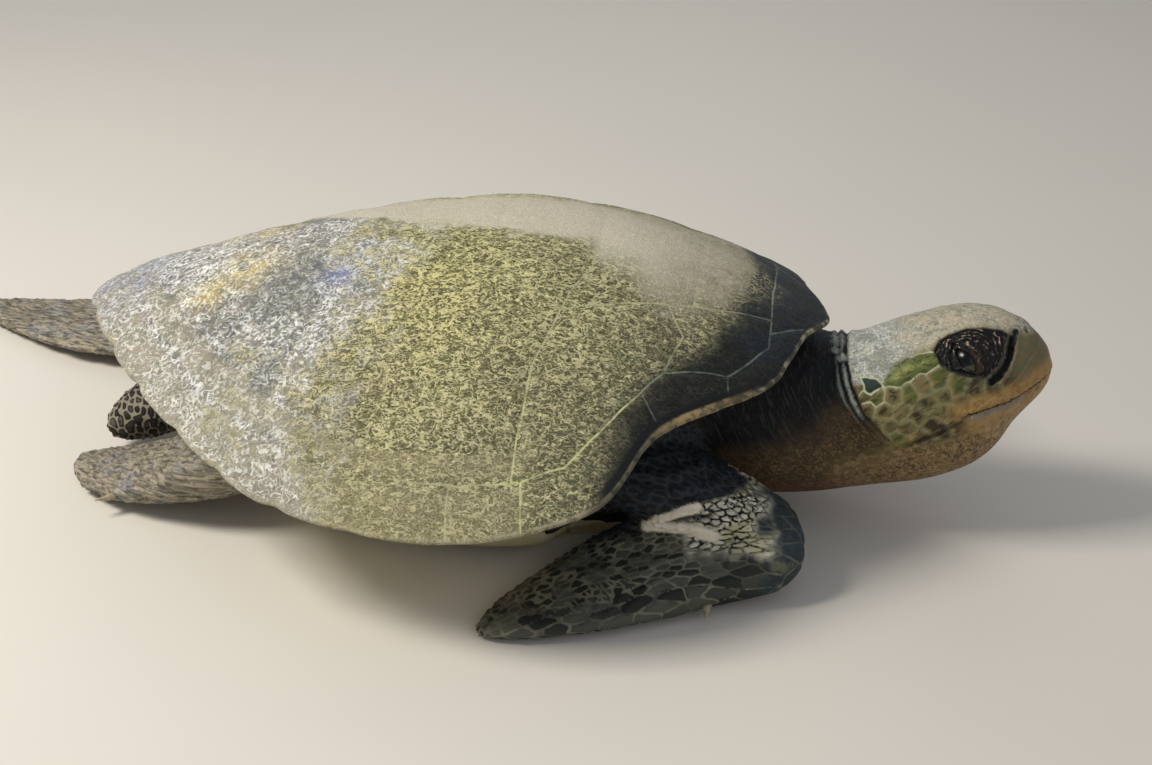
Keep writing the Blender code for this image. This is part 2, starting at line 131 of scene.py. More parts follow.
# Head: its own frame starts at the nape and is pitched up
HEAD_ORIGIN = np.array((0.365, 0.0, 0.125))
HEAD_PITCH = math.radians(18)
HEAD_SQUARENESS = 2.15
HEAD = (
    (0.000, -0.027, 0.0620, 0.072, 0.068), (0.022, -0.027, 0.0655, 0.072, 0.069),
    (0.045, -0.026, 0.0670, 0.075, 0.071), (0.070, -0.023, 0.0645, 0.075, 0.072),
    (0.092, -0.020, 0.0590, 0.073, 0.070), (0.112, -0.016, 0.0525, 0.068, 0.062),
    (0.130, -0.012, 0.0455, 0.059, 0.0455), (0.145, -0.009, 0.0375, 0.048, 0.037),
    (0.157, -0.007, 0.0290, 0.035, 0.031), (0.166, -0.008, 0.0195, 0.022, 0.021),
    (0.172, -0.009, 0.0090, 0.010, 0.010),
)
NECK = (
    (0.215, 0.100, 0, 0.078, 0.070, 0.072), (0.262, 0.097, 0, 0.083, 0.077, 0.075),
    (0.302, 0.094, 3, 0.081, 0.078, 0.073), (0.336, 0.093, 8, 0.074, 0.077, 0.068),
    (0.358, 0.095, 13, 0.066, 0.073, 0.066),
)
MOUTH = (
    (0.200, -0.0150), (0.165, -0.0162), (0.150, -0.0176), (0.138, -0.0194),
    (0.127, -0.0202), (0.115, -0.0197), (0.096, -0.0195),
)
MOUTH_CREASE = (
    (0.096, -0.0195), (0.0925, -0.0232), (0.0857, -0.0256), (0.078, -0.0262),
    (0.070, -0.0282), (0.0556, -0.0302), (0.040, -0.0345),
)
BEAK_BROW = (
    (0.096, -0.0195), (0.106, -0.0130), (0.128, -0.0060), (0.143, 0.0010), (0.153, 0.0090),
    (0.166, 0.0150), (0.200, 0.0160),
)
JAW_REAR = (
    (0.096, -0.0195), (0.091, -0.0330), (0.096, -0.0450),
    (0.112, -0.0560), (0.125, -0.1200), (0.200, -0.1200),
)

# Eye: centre in the head's frame, and its outward direction
EYE_RADIUS = 0.0175
EYE = np.array((0.1030, 0.0305, 0.0190))
EYE_OUT = np.array((0.0, 0.84, 0.54))
EYE_SET_BACK = 0.0015
LID_THICKNESS = 0.0021
SLIT_HALF_LENGTH = 0.0134
SLIT_HALF_WIDTH = 0.0056
SLIT_TURN = math.radians(-62)
SLIT_MIDDLE = (-0.0015, -0.0012)
# Soft skin round the eye, in the chart whose origin is the eye's middle
LID_OUTLINE = (
    (-0.0265, 0.0110), (-0.0210, 0.0197), (-0.0120, 0.0232), (0.0030, 0.0262), (0.0190, 0.0240),
    (0.0330, 0.0200), (0.0420, 0.0120), (0.0385, 0.0000), (0.0320, -0.0095), (0.0240, -0.0175),
    (0.0150, -0.0215), (0.0050, -0.0185), (-0.0060, -0.0150), (-0.0150, -0.0100), (-0.0230, -0.0030),
)
LID_GROOVE = (
    (0.0441, 0.0175), (0.0391, 0.0057), (0.0349, -0.0050), (0.0294, -0.0138),
    (0.0231, -0.0190), (0.0161, -0.0224),
)
NOSTRIL = (0.1560, 0.0098, 0.0265)

# Head shields as (x, distance from the middle, z) points in the head's frame.
# Points under one name make one shield; those off the middle are mirrored.
MIDDLE_SHIELDS = {
    "frontal": ((0.120, 0.000, 0.050),),
    "crown": ((0.098, 0.000, 0.053), (0.083, 0.000, 0.053)),
    "nape": ((0.036, 0.000, 0.048),),
}
SIDE_SHIELDS = {
    "nose": ((0.153, 0.009, 0.031),),
    "brow_front": ((0.136, 0.011, 0.041),),
    "brow": ((0.110, 0.020, 0.048),),
    "parietal_front": ((0.078, 0.022, 0.050),),
    "parietal": ((0.058, 0.014, 0.050),),
    "temple": ((0.050, 0.032, 0.042), (0.064, 0.034, 0.041)),
    "nape_side": ((0.030, 0.026, 0.043),),
    "nape_rear": ((0.010, 0.012, 0.045),),
    "collar_upper": ((0.012, 0.034, 0.037),),
    "temple_rear": ((0.022, 0.043, 0.033), (0.030, 0.044, 0.033)),
    "green": ((0.040, 0.049, 0.0250), (0.052, 0.047, 0.0285), (0.066, 0.046, 0.0320)),
    "wedge": ((0.0185, 0.050, 0.0205),),
    "bar": ((0.010, 0.053, 0.0120), (0.022, 0.056, 0.0110)),
}
# Small shields behind the temple, on cheek and lips, one point each
SMALL_SHIELDS = (
    (0.006, 0.050, 0.0200), (0.012, 0.058, 0.0030), (0.0360, 0.058, 0.0100), (0.0500, 0.060, 0.0100),
    (0.0260, 0.061, 0.0010), (0.0400, 0.063, -0.0015), (0.0530, 0.064, -0.0070), (0.0645, 0.062, 0.0020),
    (0.0625, 0.057, 0.0145), (0.0750, 0.055, 0.0170), (0.0780, 0.059, 0.0050), (0.0720, 0.063, -0.0080),
    (0.0640, 0.064, -0.0180), (0.0420, 0.066, -0.0160), (0.0270, 0.065, -0.0120), (0.0170, 0.063, -0.0100),
    (0.0900, 0.056, 0.0070), (0.0910, 0.059, -0.0050), (0.0830, 0.062, -0.0130), (0.0520, 0.066, -0.0270),
    (0.0340, 0.067, -0.0270), (0.0190, 0.065, -0.0240), (0.1050, 0.054, 0.0010), (0.1180, 0.050, -0.0020),
    (0.1310, 0.044, 0.0040), (0.1060, 0.057, -0.0120),
)
SIDE_SHIELDS.update({"small_%d" % number: (place,) for number, place in enumerate(SMALL_SHIELDS)})

# Limbs: stations as (x, outward y, z, half width, half thickness, tilt)
ARM = (
    (0.150, 0.105, 0.086, 0.044, 0.032, 0), (0.205, 0.124, 0.080, 0.046, 0.033, 0),
    (0.252, 0.130, 0.067, 0.042, 0.030, 0), (0.294, 0.133, 0.054, 0.034, 0.024, 0),
    (0.318, 0.140, 0.046, 0.020, 0.016, 0),
)
FRONT_BLADE = (
    (0.329, 0.142, 0.044, 0.012, 0.010, 34), (0.322, 0.144, 0.044, 0.030, 0.020, 34),
    (0.305, 0.147, 0.043, 0.043, 0.026, 34), (0.276, 0.153, 0.040, 0.048, 0.026, 33),
    (0.236, 0.167, 0.034, 0.050, 0.021, 27), (0.188, 0.194, 0.026, 0.049, 0.016, 18),
    (0.142, 0.225, 0.018, 0.041, 0.012, 10), (0.103, 0.251, 0.012, 0.028, 0.009, 4),
    (0.081, 0.266, 0.008, 0.014, 0.006, 0), (0.073, 0.271, 0.006, 0.005, 0.003, 0),
)
LEFT_FRONT_SHIFT = (-0.045, 0.012, 0.0)
HIND_RIGHT = (
    (-0.140, 0.115, 0.072, 0.045, 0.034, 0), (-0.190, 0.126, 0.052, 0.043, 0.030, 0),
    (-0.228, 0.120, 0.036, 0.043, 0.023, 8), (-0.260, 0.108, 0.024, 0.045, 0.016, 8),
    (-0.290, 0.094, 0.015, 0.041, 0.011, 5), (-0.316, 0.080, 0.009, 0.028, 0.008, 2),
    (-0.332, 0.070, 0.006, 0.013, 0.005, 0), (-0.337, 0.067, 0.005, 0.005, 0.003, 0),
)
HIND_LEFT = (
    (-0.150, 0.112, 0.074, 0.045, 0.034, 0), (-0.210, 0.132, 0.052, 0.042, 0.029, 0),
    (-0.275, 0.148, 0.033, 0.043, 0.021, 0), (-0.340, 0.161, 0.023, 0.054, 0.015, 0),
    (-0.400, 0.174, 0.017, 0.060, 0.011, 0), (-0.458, 0.188, 0.012, 0.050, 0.009, 0),
    (-0.508, 0.201, 0.009, 0.034, 0.007, 0), (-0.546, 0.211, 0.007, 0.017, 0.005, 0),
    (-0.560, 0.214, 0.005, 0.006, 0.003, 0),
)
TAIL = (
    (-0.215, 0.000, 0.062, 0.036, 0.032, 0), (-0.255, 0.012, 0.050, 0.033, 0.030, 0),
    (-0.285, 0.026, 0.038, 0.028, 0.026, 0), (-0.306, 0.038, 0.027, 0.019, 0.018, 0),
    (-0.316, 0.044, 0.020, 0.007, 0.007, 0),
)

# Spacing of the relief's waves
GROWTH_RINGS = 0.0068
LID_WRINKLES = 0.0052
NECK_WRINKLES = 0.0076
BODY_WRINKLES = 0.0080

CLAW_LENGTH = 0.022
CLAW_RADIUS = 0.0042
CLAW_TIP = 0.0006
CLAW_ROOT = 0.007


# -------------------------------------------------------------------- colour
def linear(colour):
    """Linear colour from an sRGB hex value."""
    srgb = [int(colour[i:i + 2], 16) / 255 for i in (0, 2, 4)]
    return [c / 12.92 if c <= 0.04045 else ((c + 0.055) / 1.055) ** 2.4 for c in srgb]


def tint(name, description, colour):
    """A colour that a user may change, from an sRGB hex value."""
    return FloatVectorProperty(
        name=name, description=description, default=linear(colour), size=3,
        subtype='COLOR', min=0.0, max=1.0)


def span(name, description, metres):
    """A length that a user may change."""
    return FloatProperty(
        name=name, description=description, default=metres, subtype='DISTANCE',
        unit='LENGTH', precision=4)


def angle(name, description, degrees):
    """An angle that a user may change."""
    return FloatProperty(name=name, description=description, default=math.radians(degrees), subtype='ANGLE')


# -------------------------------------------------------------------- curves
def curve_at(stations, places, closed=False):
    """Smooth curve through the stations, read at places counted in stations."""
    table = np.array(stations, float)
    count = len(table)
    low = np.floor(places).astype(int)
    if not closed:
        low = np.clip(low, 0, count - 2)
    t = (places - low)[:, None]
    picks = [low + k for k in (-1, 0, 1, 2)]
    if closed:
        p, q, r, s = (table[pick % count] for pick in picks)
    else:
        p, q, r, s = (table[np.clip(pick, 0, count - 1)] for pick in picks)
    return 0.5 * (2 * q + (r - p) * t + (2 * p - 5 * q + 4 * r - s) * t * t
                  + (3 * q - p - 3 * r + s) * t ** 3)


def smooth_run(stations, steps):
    """Open smooth curve with steps points per span."""
    spans = len(stations) - 1
    return curve_at(stations, np.linspace(0, spans, spans * steps + 1))


def step_up(values, low, high):
    """0 below low, 1 above high, smooth between."""
    t = np.clip((values - low) / (high - low), 0, 1)
    return t * t * (3 - 2 * t)


def bump_of(distance, width):
    """Smooth bell that is 1 at no distance."""
    return np.exp(-(distance / width) ** 2)


def to_line(points, lines):
    """Distance to the nearest of some polylines in a plane, plain and signed by its side."""
    best, signed = np.full(len(points), FAR), np.full(len(points), FAR)
    for line in lines:
        for start, end in zip(line, line[1:]):
            start, end = np.array(start), np.array(end)
            run = end - start
            offset = points - start
            share = np.clip((offset @ run) / (run @ run), 0, 1)
            distance = np.linalg.norm(offset - share[:, None] * run, axis=1)
            side = np.where(run[0] * offset[:, 1] > run[1] * offset[:, 0], 1, -1)
            near = distance < best
            best[near] = distance[near]
            signed[near] = (distance * side)[near]
    return best, signed


def to_run(points, run):
    """Distance to one polyline in space."""
    best = np.full(len(points), FAR)
    for start, end in zip(run, run[1:]):
        start, end = np.array(start), np.array(end)
        step = end - start
        share = np.clip(((points - start) @ step) / (step @ step), 0, 1)
        best = np.minimum(best, np.linalg.norm(points - start - share[:, None] * step, axis=1))
    return best


def shaped(mesh, kind, group=None, **settings):
    """Mesh after one modifier, which may work on a group of the vertices alone."""
    holder = bpy.data.objects.new("raw", mesh)
    bpy.context.scene.collection.objects.link(holder)
    change = holder.modifiers.new(kind, kind)
    for key, value in settings.items():
        setattr(change, key, value)
    if group is not None:
        holder.vertex_groups.new(name="group").add(np.flatnonzero(group).tolist(), 1.0, 'REPLACE')
        change.vertex_group = "group"
    graph = bpy.context.evaluated_depsgraph_get()
    made = bpy.data.meshes.new_from_object(holder.evaluated_get(graph))
    bpy.data.objects.remove(holder)
    bpy.data.meshes.remove(mesh)
    return made


def inside_of(points, outline):
    """True where a point of the plane is inside the closed outline."""
    inside = np.zeros(len(points), bool)
    x, y = points[:, 0], points[:, 1]
    for (x0, y0), (x1, y1) in zip(outline, list(outline[1:]) + [outline[0]]):
        if y0 != y1:
            crosses = (y0 > y) != (y1 > y)
            inside ^= crosses & (x < (x1 - x0) * (y - y0) / (y1 - y0) + x0)
    return inside


def depth_in(points, outline):
    """Distance into a closed outline, negative outside it."""
    closed = list(outline) + [outline[0]]
    distance, _ = to_line(points, [closed])
    return np.where(inside_of(points, outline), distance, -distance)


def roughness_of(points, size, seed=0.0, octaves=3):
    """Cloudy values from -1 to 1 whose patches are about size across."""
    shift = Vector((seed, 1.7 * seed, -seed))
    return np.array([noise.fractal(Vector(p) / size + shift, 0.9, 2.1, octaves) for p in points])


# -------------------------------------------------------------------- meshes
def read_points(mesh, name="co"):
    """Vertex places or normals as an array."""
    values = np.empty(len(mesh.vertices) * 3, np.float32)
    if name == "co":
        mesh.vertices.foreach_get("co", values)
    else:
        mesh.vertex_normals.foreach_get("vector", values)
    return values.reshape(-1, 3).astype(float)


def write_points(mesh, points):
    """Put the vertices at the places of an array."""
    mesh.vertices.foreach_set("co", np.ascontiguousarray(points, np.float32).ravel())
    mesh.update()


def read_edges(mesh):
    """Pairs of vertex numbers."""
    pairs = np.empty(len(mesh.edges) * 2, np.int32)
    mesh.edges.foreach_get("vertices", pairs)
    return pairs.reshape(-1, 2)


def store(mesh, name, values):
    """Keep one number for each vertex under a name that the materials read."""
    layer = mesh.attributes.get(name) or mesh.attributes.new(name, 'FLOAT', 'POINT')
    layer.data.foreach_set("value", np.ascontiguousarray(values, np.float32))


def spread(values, edges, rounds, amount=0.5, share=1.0):
    """Average each vertex's values with its neighbours', some rounds over."""
    values = values.astype(float)
    flat = values.ndim == 1
    if flat:
        values = values[:, None]
    count = len(values)
    links = np.bincount(edges.ravel(), minlength=count).clip(1)[:, None]
    weight = np.broadcast_to(np.asarray(share, float), (count,))[:, None] * amount
    for _ in range(rounds):
        total = np.stack([
            np.bincount(edges[:, 0], values[edges[:, 1], k], count)
            + np.bincount(edges[:, 1], values[edges[:, 0], k], count)
            for k in range(values.shape[1])], 1)
        values = values + (total / links - values) * weight
    return values[:, 0] if flat else values


def add_tube(shape, rings):
    """Wrap a grid round a run of rings and close its two ends."""
    count, sides = rings.shape[:2]
    grid = bmesh.new()
    bmesh.ops.create_grid(grid, x_segments=sides, y_segments=count - 1, size=1.0)
    for vert in grid.verts:
        column = round((vert.co.x + 1) / 2 * sides) % sides
        row = round((vert.co.y + 1) / 2 * (count - 1))
        vert.co = rings[row, column]
    bmesh.ops.remove_doubles(grid, verts=grid.verts, dist=1e-6)
    bmesh.ops.holes_fill(grid, edges=[e for e in grid.edges if e.is_boundary], sides=0)
    bmesh.ops.recalc_face_normals(grid, faces=grid.faces)
    mesh = bpy.data.meshes.new("tube")
    grid.to_mesh(mesh)
    grid.free()
    shape.from_mesh(mesh)
    bpy.data.meshes.remove(mesh)


def mesh_of(shape, name):
    """Mesh from a bmesh, which is freed."""
    mesh = bpy.data.meshes.new(name)
    shape.to_mesh(mesh)
    shape.free()
    return mesh


def add_piece(name, mesh, finish, replaced):
    """Object of a finished mesh, which rides on the body and stands for its nodes."""
    mesh.name = name
    mesh.shade_smooth()
    mesh.materials.clear()
    mesh.materials.append(finish)
    piece = bpy.data.objects.new(name, mesh)
    bpy.context.scene.collection.objects.link(piece)
    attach(piece, BODY)
    if replaced:
        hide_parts(*replaced)
    return piece


# --------------------------------------------------------------------- shell
LOOP_POINTS = 960
CAD_LOOP_POINTS = 60
CAD_EVEN_ROUNDS = 30


def rim_curve(inset, drop):
    """The shell's rim as a dense loop, moved inwards and down."""
    places = np.arange(LOOP_POINTS) * len(RIM_LOOP) / LOOP_POINTS
    loop = curve_at(RIM_LOOP, places, closed=True)
    arm = loop[:, :2] - SHELL_CENTRE
    reach = np.linalg.norm(arm, axis=1, keepdims=True)
    loop[:, :2] = SHELL_CENTRE + arm * (1 - inset / reach)
    loop[:, 2] -= drop
    return loop


def evened(loop):
    """The loop with its corners rounded off, as the solids' dome has it."""
    waves = np.fft.rfft(loop, axis=0)
    step = np.arange(len(waves))
    kept = np.where(step < CAD_LOOP_POINTS / 2, np.cos(np.pi * step / CAD_LOOP_POINTS), 0)
    return np.fft.irfft(waves * (kept ** (2 * CAD_EVEN_ROUNDS))[:, None], len(loop), axis=0)


def at_turn(loop, turn):
    """Points of a closed loop at shares of the way round."""
    place = (turn % 1) * len(loop)
    low = np.floor(place).astype(int)
    t = (place - low)[:, None]
    return loop[low % len(loop)] * (1 - t) + loop[(low + 1) % len(loop)] * t


def even_turn(loop, turn):
    """Turn values that step round the loop by equal lengths."""
    steps = np.linalg.norm(np.roll(loop, -1, axis=0) - loop, axis=1)
    run = np.concatenate([[0], np.cumsum(steps)])
    return np.interp((turn % 1) * run[-1], run, np.arange(len(loop) + 1) / len(loop))


def dome(loop, top, turn, share):
    """Points of the dome over a rim loop."""
    rim, soft = at_turn(loop, turn), at_turn(evened(loop), turn)
    lean = np.arctan2(soft[:, 1], soft[:, 0] - SHELL_CENTRE[0])
    power = DOME_POWER + DOME_LEAN * np.cos(lean)
    rise = np.clip(1 - share ** power, 0, 1) ** DOME_ROUND
    near_rim = (share ** 6)[:, None]
    plan = SHELL_CENTRE + (soft[:, :2] - SHELL_CENTRE) * share[:, None] + (rim - soft)[:, :2] * near_rim
    height = soft[:, 2] + (top - soft[:, 2]) * rise + (rim - soft)[:, 2] * near_rim[:, 0]
    return np.column_stack([plan, height])


def bowl(loop, lift, turn, share):
    """Points of the belly bowl, from its flat middle out to the loop."""
    rim = at_turn(loop, turn)
    arm = rim[:, :2] - SHELL_CENTRE
    along = (arm[:, 0] / np.linalg.norm(arm, axis=1)) ** 2
    flat = (FLAT_SIDE + (FLAT_END - FLAT_SIDE) * along)[:, None]
    rise = share * share * (3 - 2 * share)
    plan = SHELL_CENTRE + arm * (flat + (1 - flat) * share[:, None])
    return np.column_stack([plan, rise * (rim[:, 2] - lift) + lift])


def round_from_square(u, v):
    """Ring and turn of a point of the square, for a disc with no crowded middle."""
    ring = np.maximum(abs(u), abs(v))
    safe = np.where(ring > 0, ring, 1)
    wide = abs(u) >= abs(v)
    eighth = np.where(wide, v / safe * np.sign(u), 2 - u / safe * np.sign(v))
    eighth = eighth + np.where(np.where(wide, u, v) < 0, 4, 0)
    return ring, (eighth / 8) % 1


DOME_PART = 0.925               # share of the grid that is dome; the rest is rim and underside
EDGE_PART = 0.32                # share of that rest which is the rim's rounded edge
EDGE_THICKNESS = 0.0036


def shell_places(u, v):
    """Places of the shell's outer face, rim and underside over a square grid."""
    ring, turn = round_from_square(u, v)
    outer = rim_curve(0.0, 0.0)
    turn = even_turn(evened(outer), turn)
    places = dome(outer, SHELL_TOP, turn, np.clip(ring / DOME_PART, 0, 1))
    under = np.clip((ring - DOME_PART) / (1 - DOME_PART), 0, 1)
    bend = np.clip(under / EDGE_PART, 0, 1)
    slope = np.clip((under - EDGE_PART) / (1 - EDGE_PART), 0, 1)
    inset = slope * MARGIN_DEPTH - 0.0007 * np.sin(np.pi * bend)
    drop = EDGE_THICKNESS * (1 - np.cos(np.pi * bend)) / 2
    drop += (MARGIN_EDGE - EDGE_THICKNESS) * np.clip(slope * 2, 0, 1)
    rim = at_turn(outer, turn)
    arm = rim[:, :2] - SHELL_CENTRE
    reach = np.linalg.norm(arm, axis=1, keepdims=True)
    low = under > 0
    places[low, :2] = (SHELL_CENTRE + arm * (1 - inset[:, None] / reach))[low]
    places[low, 2] = (rim[:, 2] - drop)[low]
    rim_way = np.where(low, 0, np.linalg.norm(places - rim, axis=1))
    return places, ring, turn, rim_way


# Edges of the shell's colour zones: dust by (x, y), the others by (distance from the middle, x)
DUST_EDGE = (
    (-0.160, 0.090), (-0.120, 0.050), (-0.068, 0.004), (-0.002, -0.011), (0.062, -0.024),
    (0.122, -0.014), (0.134, -0.036), (0.165, -0.050), (0.182, -0.064), (0.215, -0.068),
    (0.240, -0.054), (0.258, -0.022), (0.272, 0.020),
)
# DARK_EDGE also sets where the painted shade toward the front begins
DARK_EDGE = (
    (0.000, 0.297), (0.069, 0.259), (0.119, 0.231), (0.163, 0.199), (0.215, 0.172),
    (0.247, 0.163), (0.264, 0.171), (0.290, 0.184),
)
BLEACH_EDGE = (
    (0.000, -0.066), (0.101, -0.066), (0.140, -0.092), (0.183, -0.108), (0.226, -0.098), (0.260, -0.072),
)


def from_table(values, table):
    """Values read off a table of pairs."""
    return np.interp(values, *zip(*table))


def shell_seams():
    """All seams of one side, in plan."""
    return (MARGIN_SEAM, KEEL_SEAM) + CROSS_SEAMS + MARGIN_JOINTS


def close_shell(mesh, turn):
    """Close the shell with its inner face, which the body hides."""
    store(mesh, "turn", turn)
    shape = bmesh.new()
    shape.from_mesh(mesh)
    layer = shape.verts.layers.float["turn"]
    inner = rim_curve(MARGIN_DEPTH, MARGIN_EDGE)
    edges = [edge for edge in shape.edges if edge.is_boundary]
    for share in (0.80, 0.50, 0.20):
        swept = bmesh.ops.extrude_edge_only(shape, edges=edges)["geom"]
        verts = [item for item in swept if isinstance(item, bmesh.types.BMVert)]
        turns = np.array([vert[layer] for vert in verts])
        for vert, place in zip(verts, dome(inner, SHELL_TOP - SHELL_WALL, turns, np.full(len(turns), share))):
            vert.co = place
        edges = [item for item in swept if isinstance(item, bmesh.types.BMEdge) and item.is_boundary]
    bmesh.ops.holes_fill(shape, edges=edges, sides=0)
    bmesh.ops.recalc_face_normals(shape, faces=shape.faces)
    shape.to_mesh(mesh)
    shape.free()


SEAM_WANDER = 0.0024            # how far the seams stray from their drawn lines
SEAM_WIDTH = 0.0030
SHELL_WEAR = 0.0010             # broad unevenness of worn horn
RING_RISE = 0.00018
PIT_DEPTH = 0.00035
DUST_FILL = 0.55                # share of the relief that dust hides
# Dips of the margin's outline where two scutes meet
NOTCH_DEPTH = 0.0006
NOTCH_DEPTH_REAR = 0.0030
NOTCH_WIDTH = 0.009
EDGE_WEAR = 0.0008


def carapace_mesh(settings):
    """Upper shell with its scutes in relief, and the fields its material reads."""
    segments = settings.shell_segments
    shape = bmesh.new()
    bmesh.ops.create_grid(shape, x_segments=segments, y_segments=segments, size=1.0)
    mesh = mesh_of(shape, "carapace_horn")
    square = read_points(mesh)
    places, ring, turn, rim_way = shell_places(square[:, 0], square[:, 1])
    write_points(mesh, places)
    normals = read_points(mesh, "normal")
    normals *= np.where(normals[np.argmin(ring), 2] < 0, -1, 1)
    wobble = np.column_stack([roughness_of(places, 0.05, 3.0, 2), roughness_of(places, 0.05, 8.0, 2)])
    plan = places[:, :2] + SEAM_WANDER * wobble
    folded = np.column_stack([plan[:, 0], abs(plan[:, 1])])
    distance, signed = to_line(folded, shell_seams())
    inner = step_up(rim_way, 0.004, 0.022)
    zones = shell_zones(places, plan, rim_way, ring)
    groove = -settings.seam_depth * bump_of(distance, SEAM_WIDTH) * step_up(rim_way, 0.0, 0.004)
    swell = settings.scute_swell * step_up(distance, 0.0, 0.024) * inner
    wear = SHELL_WEAR * roughness_of(places, 0.085, 5.0, 3) * inner
    rings = RING_RISE * np.sin(distance * 2 * np.pi / GROWTH_RINGS)
    rings *= step_up(distance, 0.005, 0.014) * inner
    pits = PIT_DEPTH * roughness_of(places, 0.011, 41.0, 3) * (0.3 + 0.7 * zones["bleach"])
    quiet = 1 - DUST_FILL * zones["dust"]
    places += normals * ((groove + swell + rings) * quiet + wear + pits * inner)[:, None]
    # The margin's outline dips where two margin scutes meet
    joint, _ = to_line(folded, MARGIN_JOINTS)
    outward = places[:, :2] - SHELL_CENTRE
    outward /= np.linalg.norm(outward, axis=1, keepdims=True).clip(1e-6)
    rear = step_up(-plan[:, 0], -0.02, 0.12)
    edge = step_up(0.030 - rim_way, 0.0, 0.022)
    notch = (NOTCH_DEPTH_REAR * rear + NOTCH_DEPTH) * bump_of(joint, NOTCH_WIDTH)
    notch += EDGE_WEAR * roughness_of(places, 0.02, 51.0, 2)
    places[:, :2] -= outward * (notch * edge)[:, None]
    write_points(mesh, places)
    store(mesh, "seam", distance)
    store(mesh, "seam_side", np.clip(signed, -0.004, 0.004))
    store(mesh, "rim_way", rim_way)
    for name, values in zones.items():
        store(mesh, name, values)
    close_shell(mesh, turn)
    return mesh


def shell_zones(places, plan, rim_way, ring):
    """Where the horn is bleached, dusty, dark or edged, and where shade and highlight are painted on it, as
    soft masks.
    """
    x, y = plan[:, 0], plan[:, 1]
    side = abs(y)
    cloud = roughness_of(places, 0.06, 11.0, 4)
    small = roughness_of(places, 0.018, 15.0, 3)
    ragged = 0.010 * cloud + 0.007 * small
    bleach = step_up(from_table(side, BLEACH_EDGE) - x + 5.6 * ragged, -0.064, 0.052)
    loose = 0.008 + 0.030 * step_up(x, 0.100, 0.150)
    dust = step_up((y - from_table(x, DUST_EDGE) + 1.3 * ragged) / loose, -1.0, 1.0)
    dust *= step_up(0.125 - y + 2 * ragged, 0.0, 0.05) * step_up(0.272 - x + ragged, 0.0, 0.030)
    front = x - from_table(side, DARK_EDGE)
    blue = np.maximum(bump_of(np.hypot(x + 0.080, side - 0.066), 0.022),
                      bump_of(np.hypot(x + 0.316, side - 0.022), 0.038))
    yellow = np.maximum(bump_of(np.hypot(x + 0.178, side - 0.043), 0.030),
                        bump_of(np.hypot(x + 0.202, side - 0.066), 0.024))
    margin, _ = to_line(np.column_stack([x, side]), [MARGIN_SEAM])
    outside = step_up(margin * np.where(rim_way < 0.07, 1, -1), 0.0, 0.006)
    return dict(
        # shade: painted shade, the ground darkened toward the front where the shell turns from the light
        bleach=bleach, dust=dust, shade=step_up(front + ragged, -0.15, 0.0),
        # dark and corner: dark front horn, deepened by painted shade
        dark=step_up(front + 0.9 * ragged, -0.030, 0.016), blue=blue * (0.65 + 0.5 * cloud).clip(0, 1),
        yellow=yellow * (0.75 + 0.8 * small).clip(0, 1),
        # sunny: painted highlight on the sunlit middle of the flank, where the flecks are brighter and
        # yellower
        sunny=bump_of(np.hypot((x - 0.005) / 0.105, (side - 0.100) / 0.085), 1.0),
        murky=bump_of(np.hypot(x + 0.128, side - 0.078), 0.056),
        seam_show=0.22 + 0.78 * step_up(x + 0.35 * (side - 0.12), 0.03, 0.11),
        seam_lit=step_up(x, 0.070, 0.105) * step_up(0.200 - x, 0.0, 0.03) * step_up(side, 0.165, 0.20),
        corner=step_up(x, 0.240, 0.275) * step_up(0.125 - side, 0, 0.03),
        arch=step_up(x, 0.150, 0.172) * step_up(0.284 - x, 0.0, 0.03) * step_up(side, 0.095, 0.125),
        arch_front=step_up(x, 0.190, 0.225),
        margin=outside * step_up(0.125 - x, 0.0, 0.03),
        under=step_up(ring, DOME_PART + 0.020, DOME_PART + 0.030))


# ---------------------------------------------------------------------- skin
def head_place(points):
    """Points from the head's frame to the row's."""
    turn = np.array(Matrix.Rotation(-HEAD_PITCH, 3, 'Y'))
    return HEAD_ORIGIN + np.asarray(points) @ turn.T


def in_head(points):
    """Points from the row's frame to the head's."""
    turn = np.array(Matrix.Rotation(-HEAD_PITCH, 3, 'Y'))
    return (points - HEAD_ORIGIN) @ turn


def neck_and_head_rings(steps, sides):
    """Rings of neck and head as one smooth run."""
    stations = list(NECK)
    for x, level, wide, up, down in HEAD:
        place = head_place((x, 0.0, level))
        stations.append((place[0], place[2], math.degrees(HEAD_PITCH), wide, up, down))
    run = smooth_run(stations, steps)
    turn = 2 * np.pi * np.arange(sides) / sides
    across = np.sign(np.cos(turn)) * abs(np.cos(turn)) ** (2 / HEAD_SQUARENESS)
    height = np.sign(np.sin(turn)) * abs(np.sin(turn)) ** (2 / HEAD_SQUARENESS)
    rings = []
    for x, z, pitch, wide, up, down in run:
        lean = math.radians(pitch)
        lift = height * np.where(height > 0, up, down)
        rings.append(np.column_stack([
            x - math.sin(lean) * lift, across * wide, z + math.cos(lean) * lift]))
    return np.array(rings)


def limb_rings(stations, side, steps, sides):
    """Rings across a limb whose stations are given for the right-hand side."""
    run = smooth_run(stations, steps)
    places = run[:, :3] * (1, side, 1)
    along = np.gradient(places, axis=0)
    along /= np.linalg.norm(along, axis=1, keepdims=True)
    across = np.cross((0, 0, 1), along)
    across /= np.linalg.norm(across, axis=1, keepdims=True)
    upward = np.cross(along, across)
    outward = np.where(across[:, 1] * side > 0, 1, -1)
    turn = -np.radians(run[:, 5]) * outward
    wide = across * np.cos(turn)[:, None] + upward * np.sin(turn)[:, None]
    thick = upward * np.cos(turn)[:, None] - across * np.sin(turn)[:, None]
    angle = 2 * np.pi * np.arange(sides) / sides
    rings = (places[:, None] + wide[:, None] * (np.cos(angle)[None, :] * run[:, 3:4])[..., None]
             + thick[:, None] * (np.sin(angle)[None, :] * run[:, 4:5])[..., None])
    rings[..., 2] = rings[..., 2].clip(0.0)
    return rings


